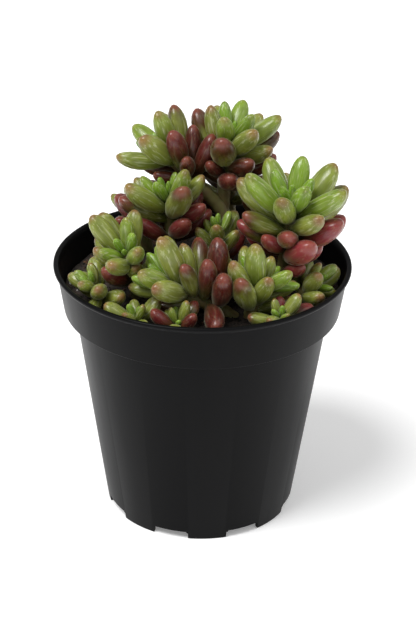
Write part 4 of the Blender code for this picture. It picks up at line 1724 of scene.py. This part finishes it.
@dataclass
class Studio:
    """A plain white studio: pale floor, softboxes and the photograph's camera."""

    rim_height: float = 0.095
    distance: float = 0.6294
    elevation_deg: float = 25.558
    roll_deg: float = 0.906
    aim_right: float = 0.00222
    aim_drop: float = 0.02451
    lens: float = 100.0
    sensor: float = 36.0
    floor_half: float = 3.0
    surround: float = 0.36
    table: str = "#FBFBFB"
    table_glow: float = 0.22
    lights: tuple[SoftLight, ...] = (
        SoftLight("key_upper_left", (-0.45, -0.35, 1.0), 30.0, 2.6),
        SoftLight("fill_upper_right", (0.8, -0.3, 0.9), 70.0, 0.7),
    )

    def build(self) -> None:
        """Put up the camera, the lights and the floor."""
        self.camera()
        self.sky()
        self.floor()
        for light in self.lights:
            self.hang(light)

    def camera(self) -> None:
        """Set the camera where the photograph was taken from."""
        tilt = math.radians(self.elevation_deg)
        ahead = self.distance * math.cos(tilt)
        eye = Vector((0.0, -ahead, self.rim_height + self.distance * math.sin(tilt)))
        aim = Vector((self.aim_right, 0.0, self.rim_height - self.aim_drop))
        data = bpy.data.cameras.new("camera")
        data.lens = self.lens
        data.sensor_width = self.sensor
        data.sensor_height = self.sensor
        data.sensor_fit = "VERTICAL"
        data.clip_start = 0.01
        camera = bpy.data.objects.new("camera", data)
        bpy.context.scene.collection.objects.link(camera)
        look = (aim - eye).to_track_quat("-Z", "Y").to_matrix().to_4x4()
        roll = Matrix.Rotation(math.radians(self.roll_deg), 4, "Z")
        camera.matrix_world = Matrix.Translation(eye) @ look @ roll
        bpy.context.scene.camera = camera

    def sky(self) -> None:
        """Surround the scene with even white light."""
        world = bpy.data.worlds.new("white_surround")
        world.use_nodes = True
        background = world.node_tree.nodes["Background"]
        background.inputs["Color"].default_value = linear("#FFFFFF")
        background.inputs["Strength"].default_value = self.surround
        bpy.context.scene.world = world
        bpy.context.scene.view_settings.view_transform = "Standard"

    def floor(self) -> None:
        """Lay the plain pale floor."""
        shape = bmesh.new()
        bmesh.ops.create_grid(shape, x_segments=4, y_segments=4, size=self.floor_half)
        floor = add_object("studio_floor", mesh_from("studio_floor", shape))
        finish = {
            "Base Color": linear(self.table),
            "Roughness": 1.0,
            "Specular IOR Level": 0.0,
            # Lit a little from below, as a table for product pictures is
            "Emission Color": linear("#FFFFFF"),
            "Emission Strength": self.table_glow,
        }
        floor.data.materials.append(new_material("matt_white_paper", finish)[0])

    def hang(self, light: SoftLight) -> None:
        """Hang one broad light, turned towards the plant.

        Args:
            light: the light.
        """
        data = bpy.data.lights.new(light.name, "SUN")
        data.energy = light.strength
        data.angle = math.radians(light.width_deg)
        lamp = bpy.data.objects.new(light.name, data)
        bpy.context.scene.collection.objects.link(lamp)
        lamp.location = light.come_from
        lamp.rotation_euler = Vector(light.come_from).to_track_quat("Z", "Y").to_euler()


def main() -> None:
    """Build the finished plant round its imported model."""
    logging.basicConfig(level=logging.INFO, format="%(message)s")
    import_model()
    Studio().build()
    NurseryPot().build()
    PottingMix().build()
    LeafyStems().build()


if __name__ == "__main__":
    main()
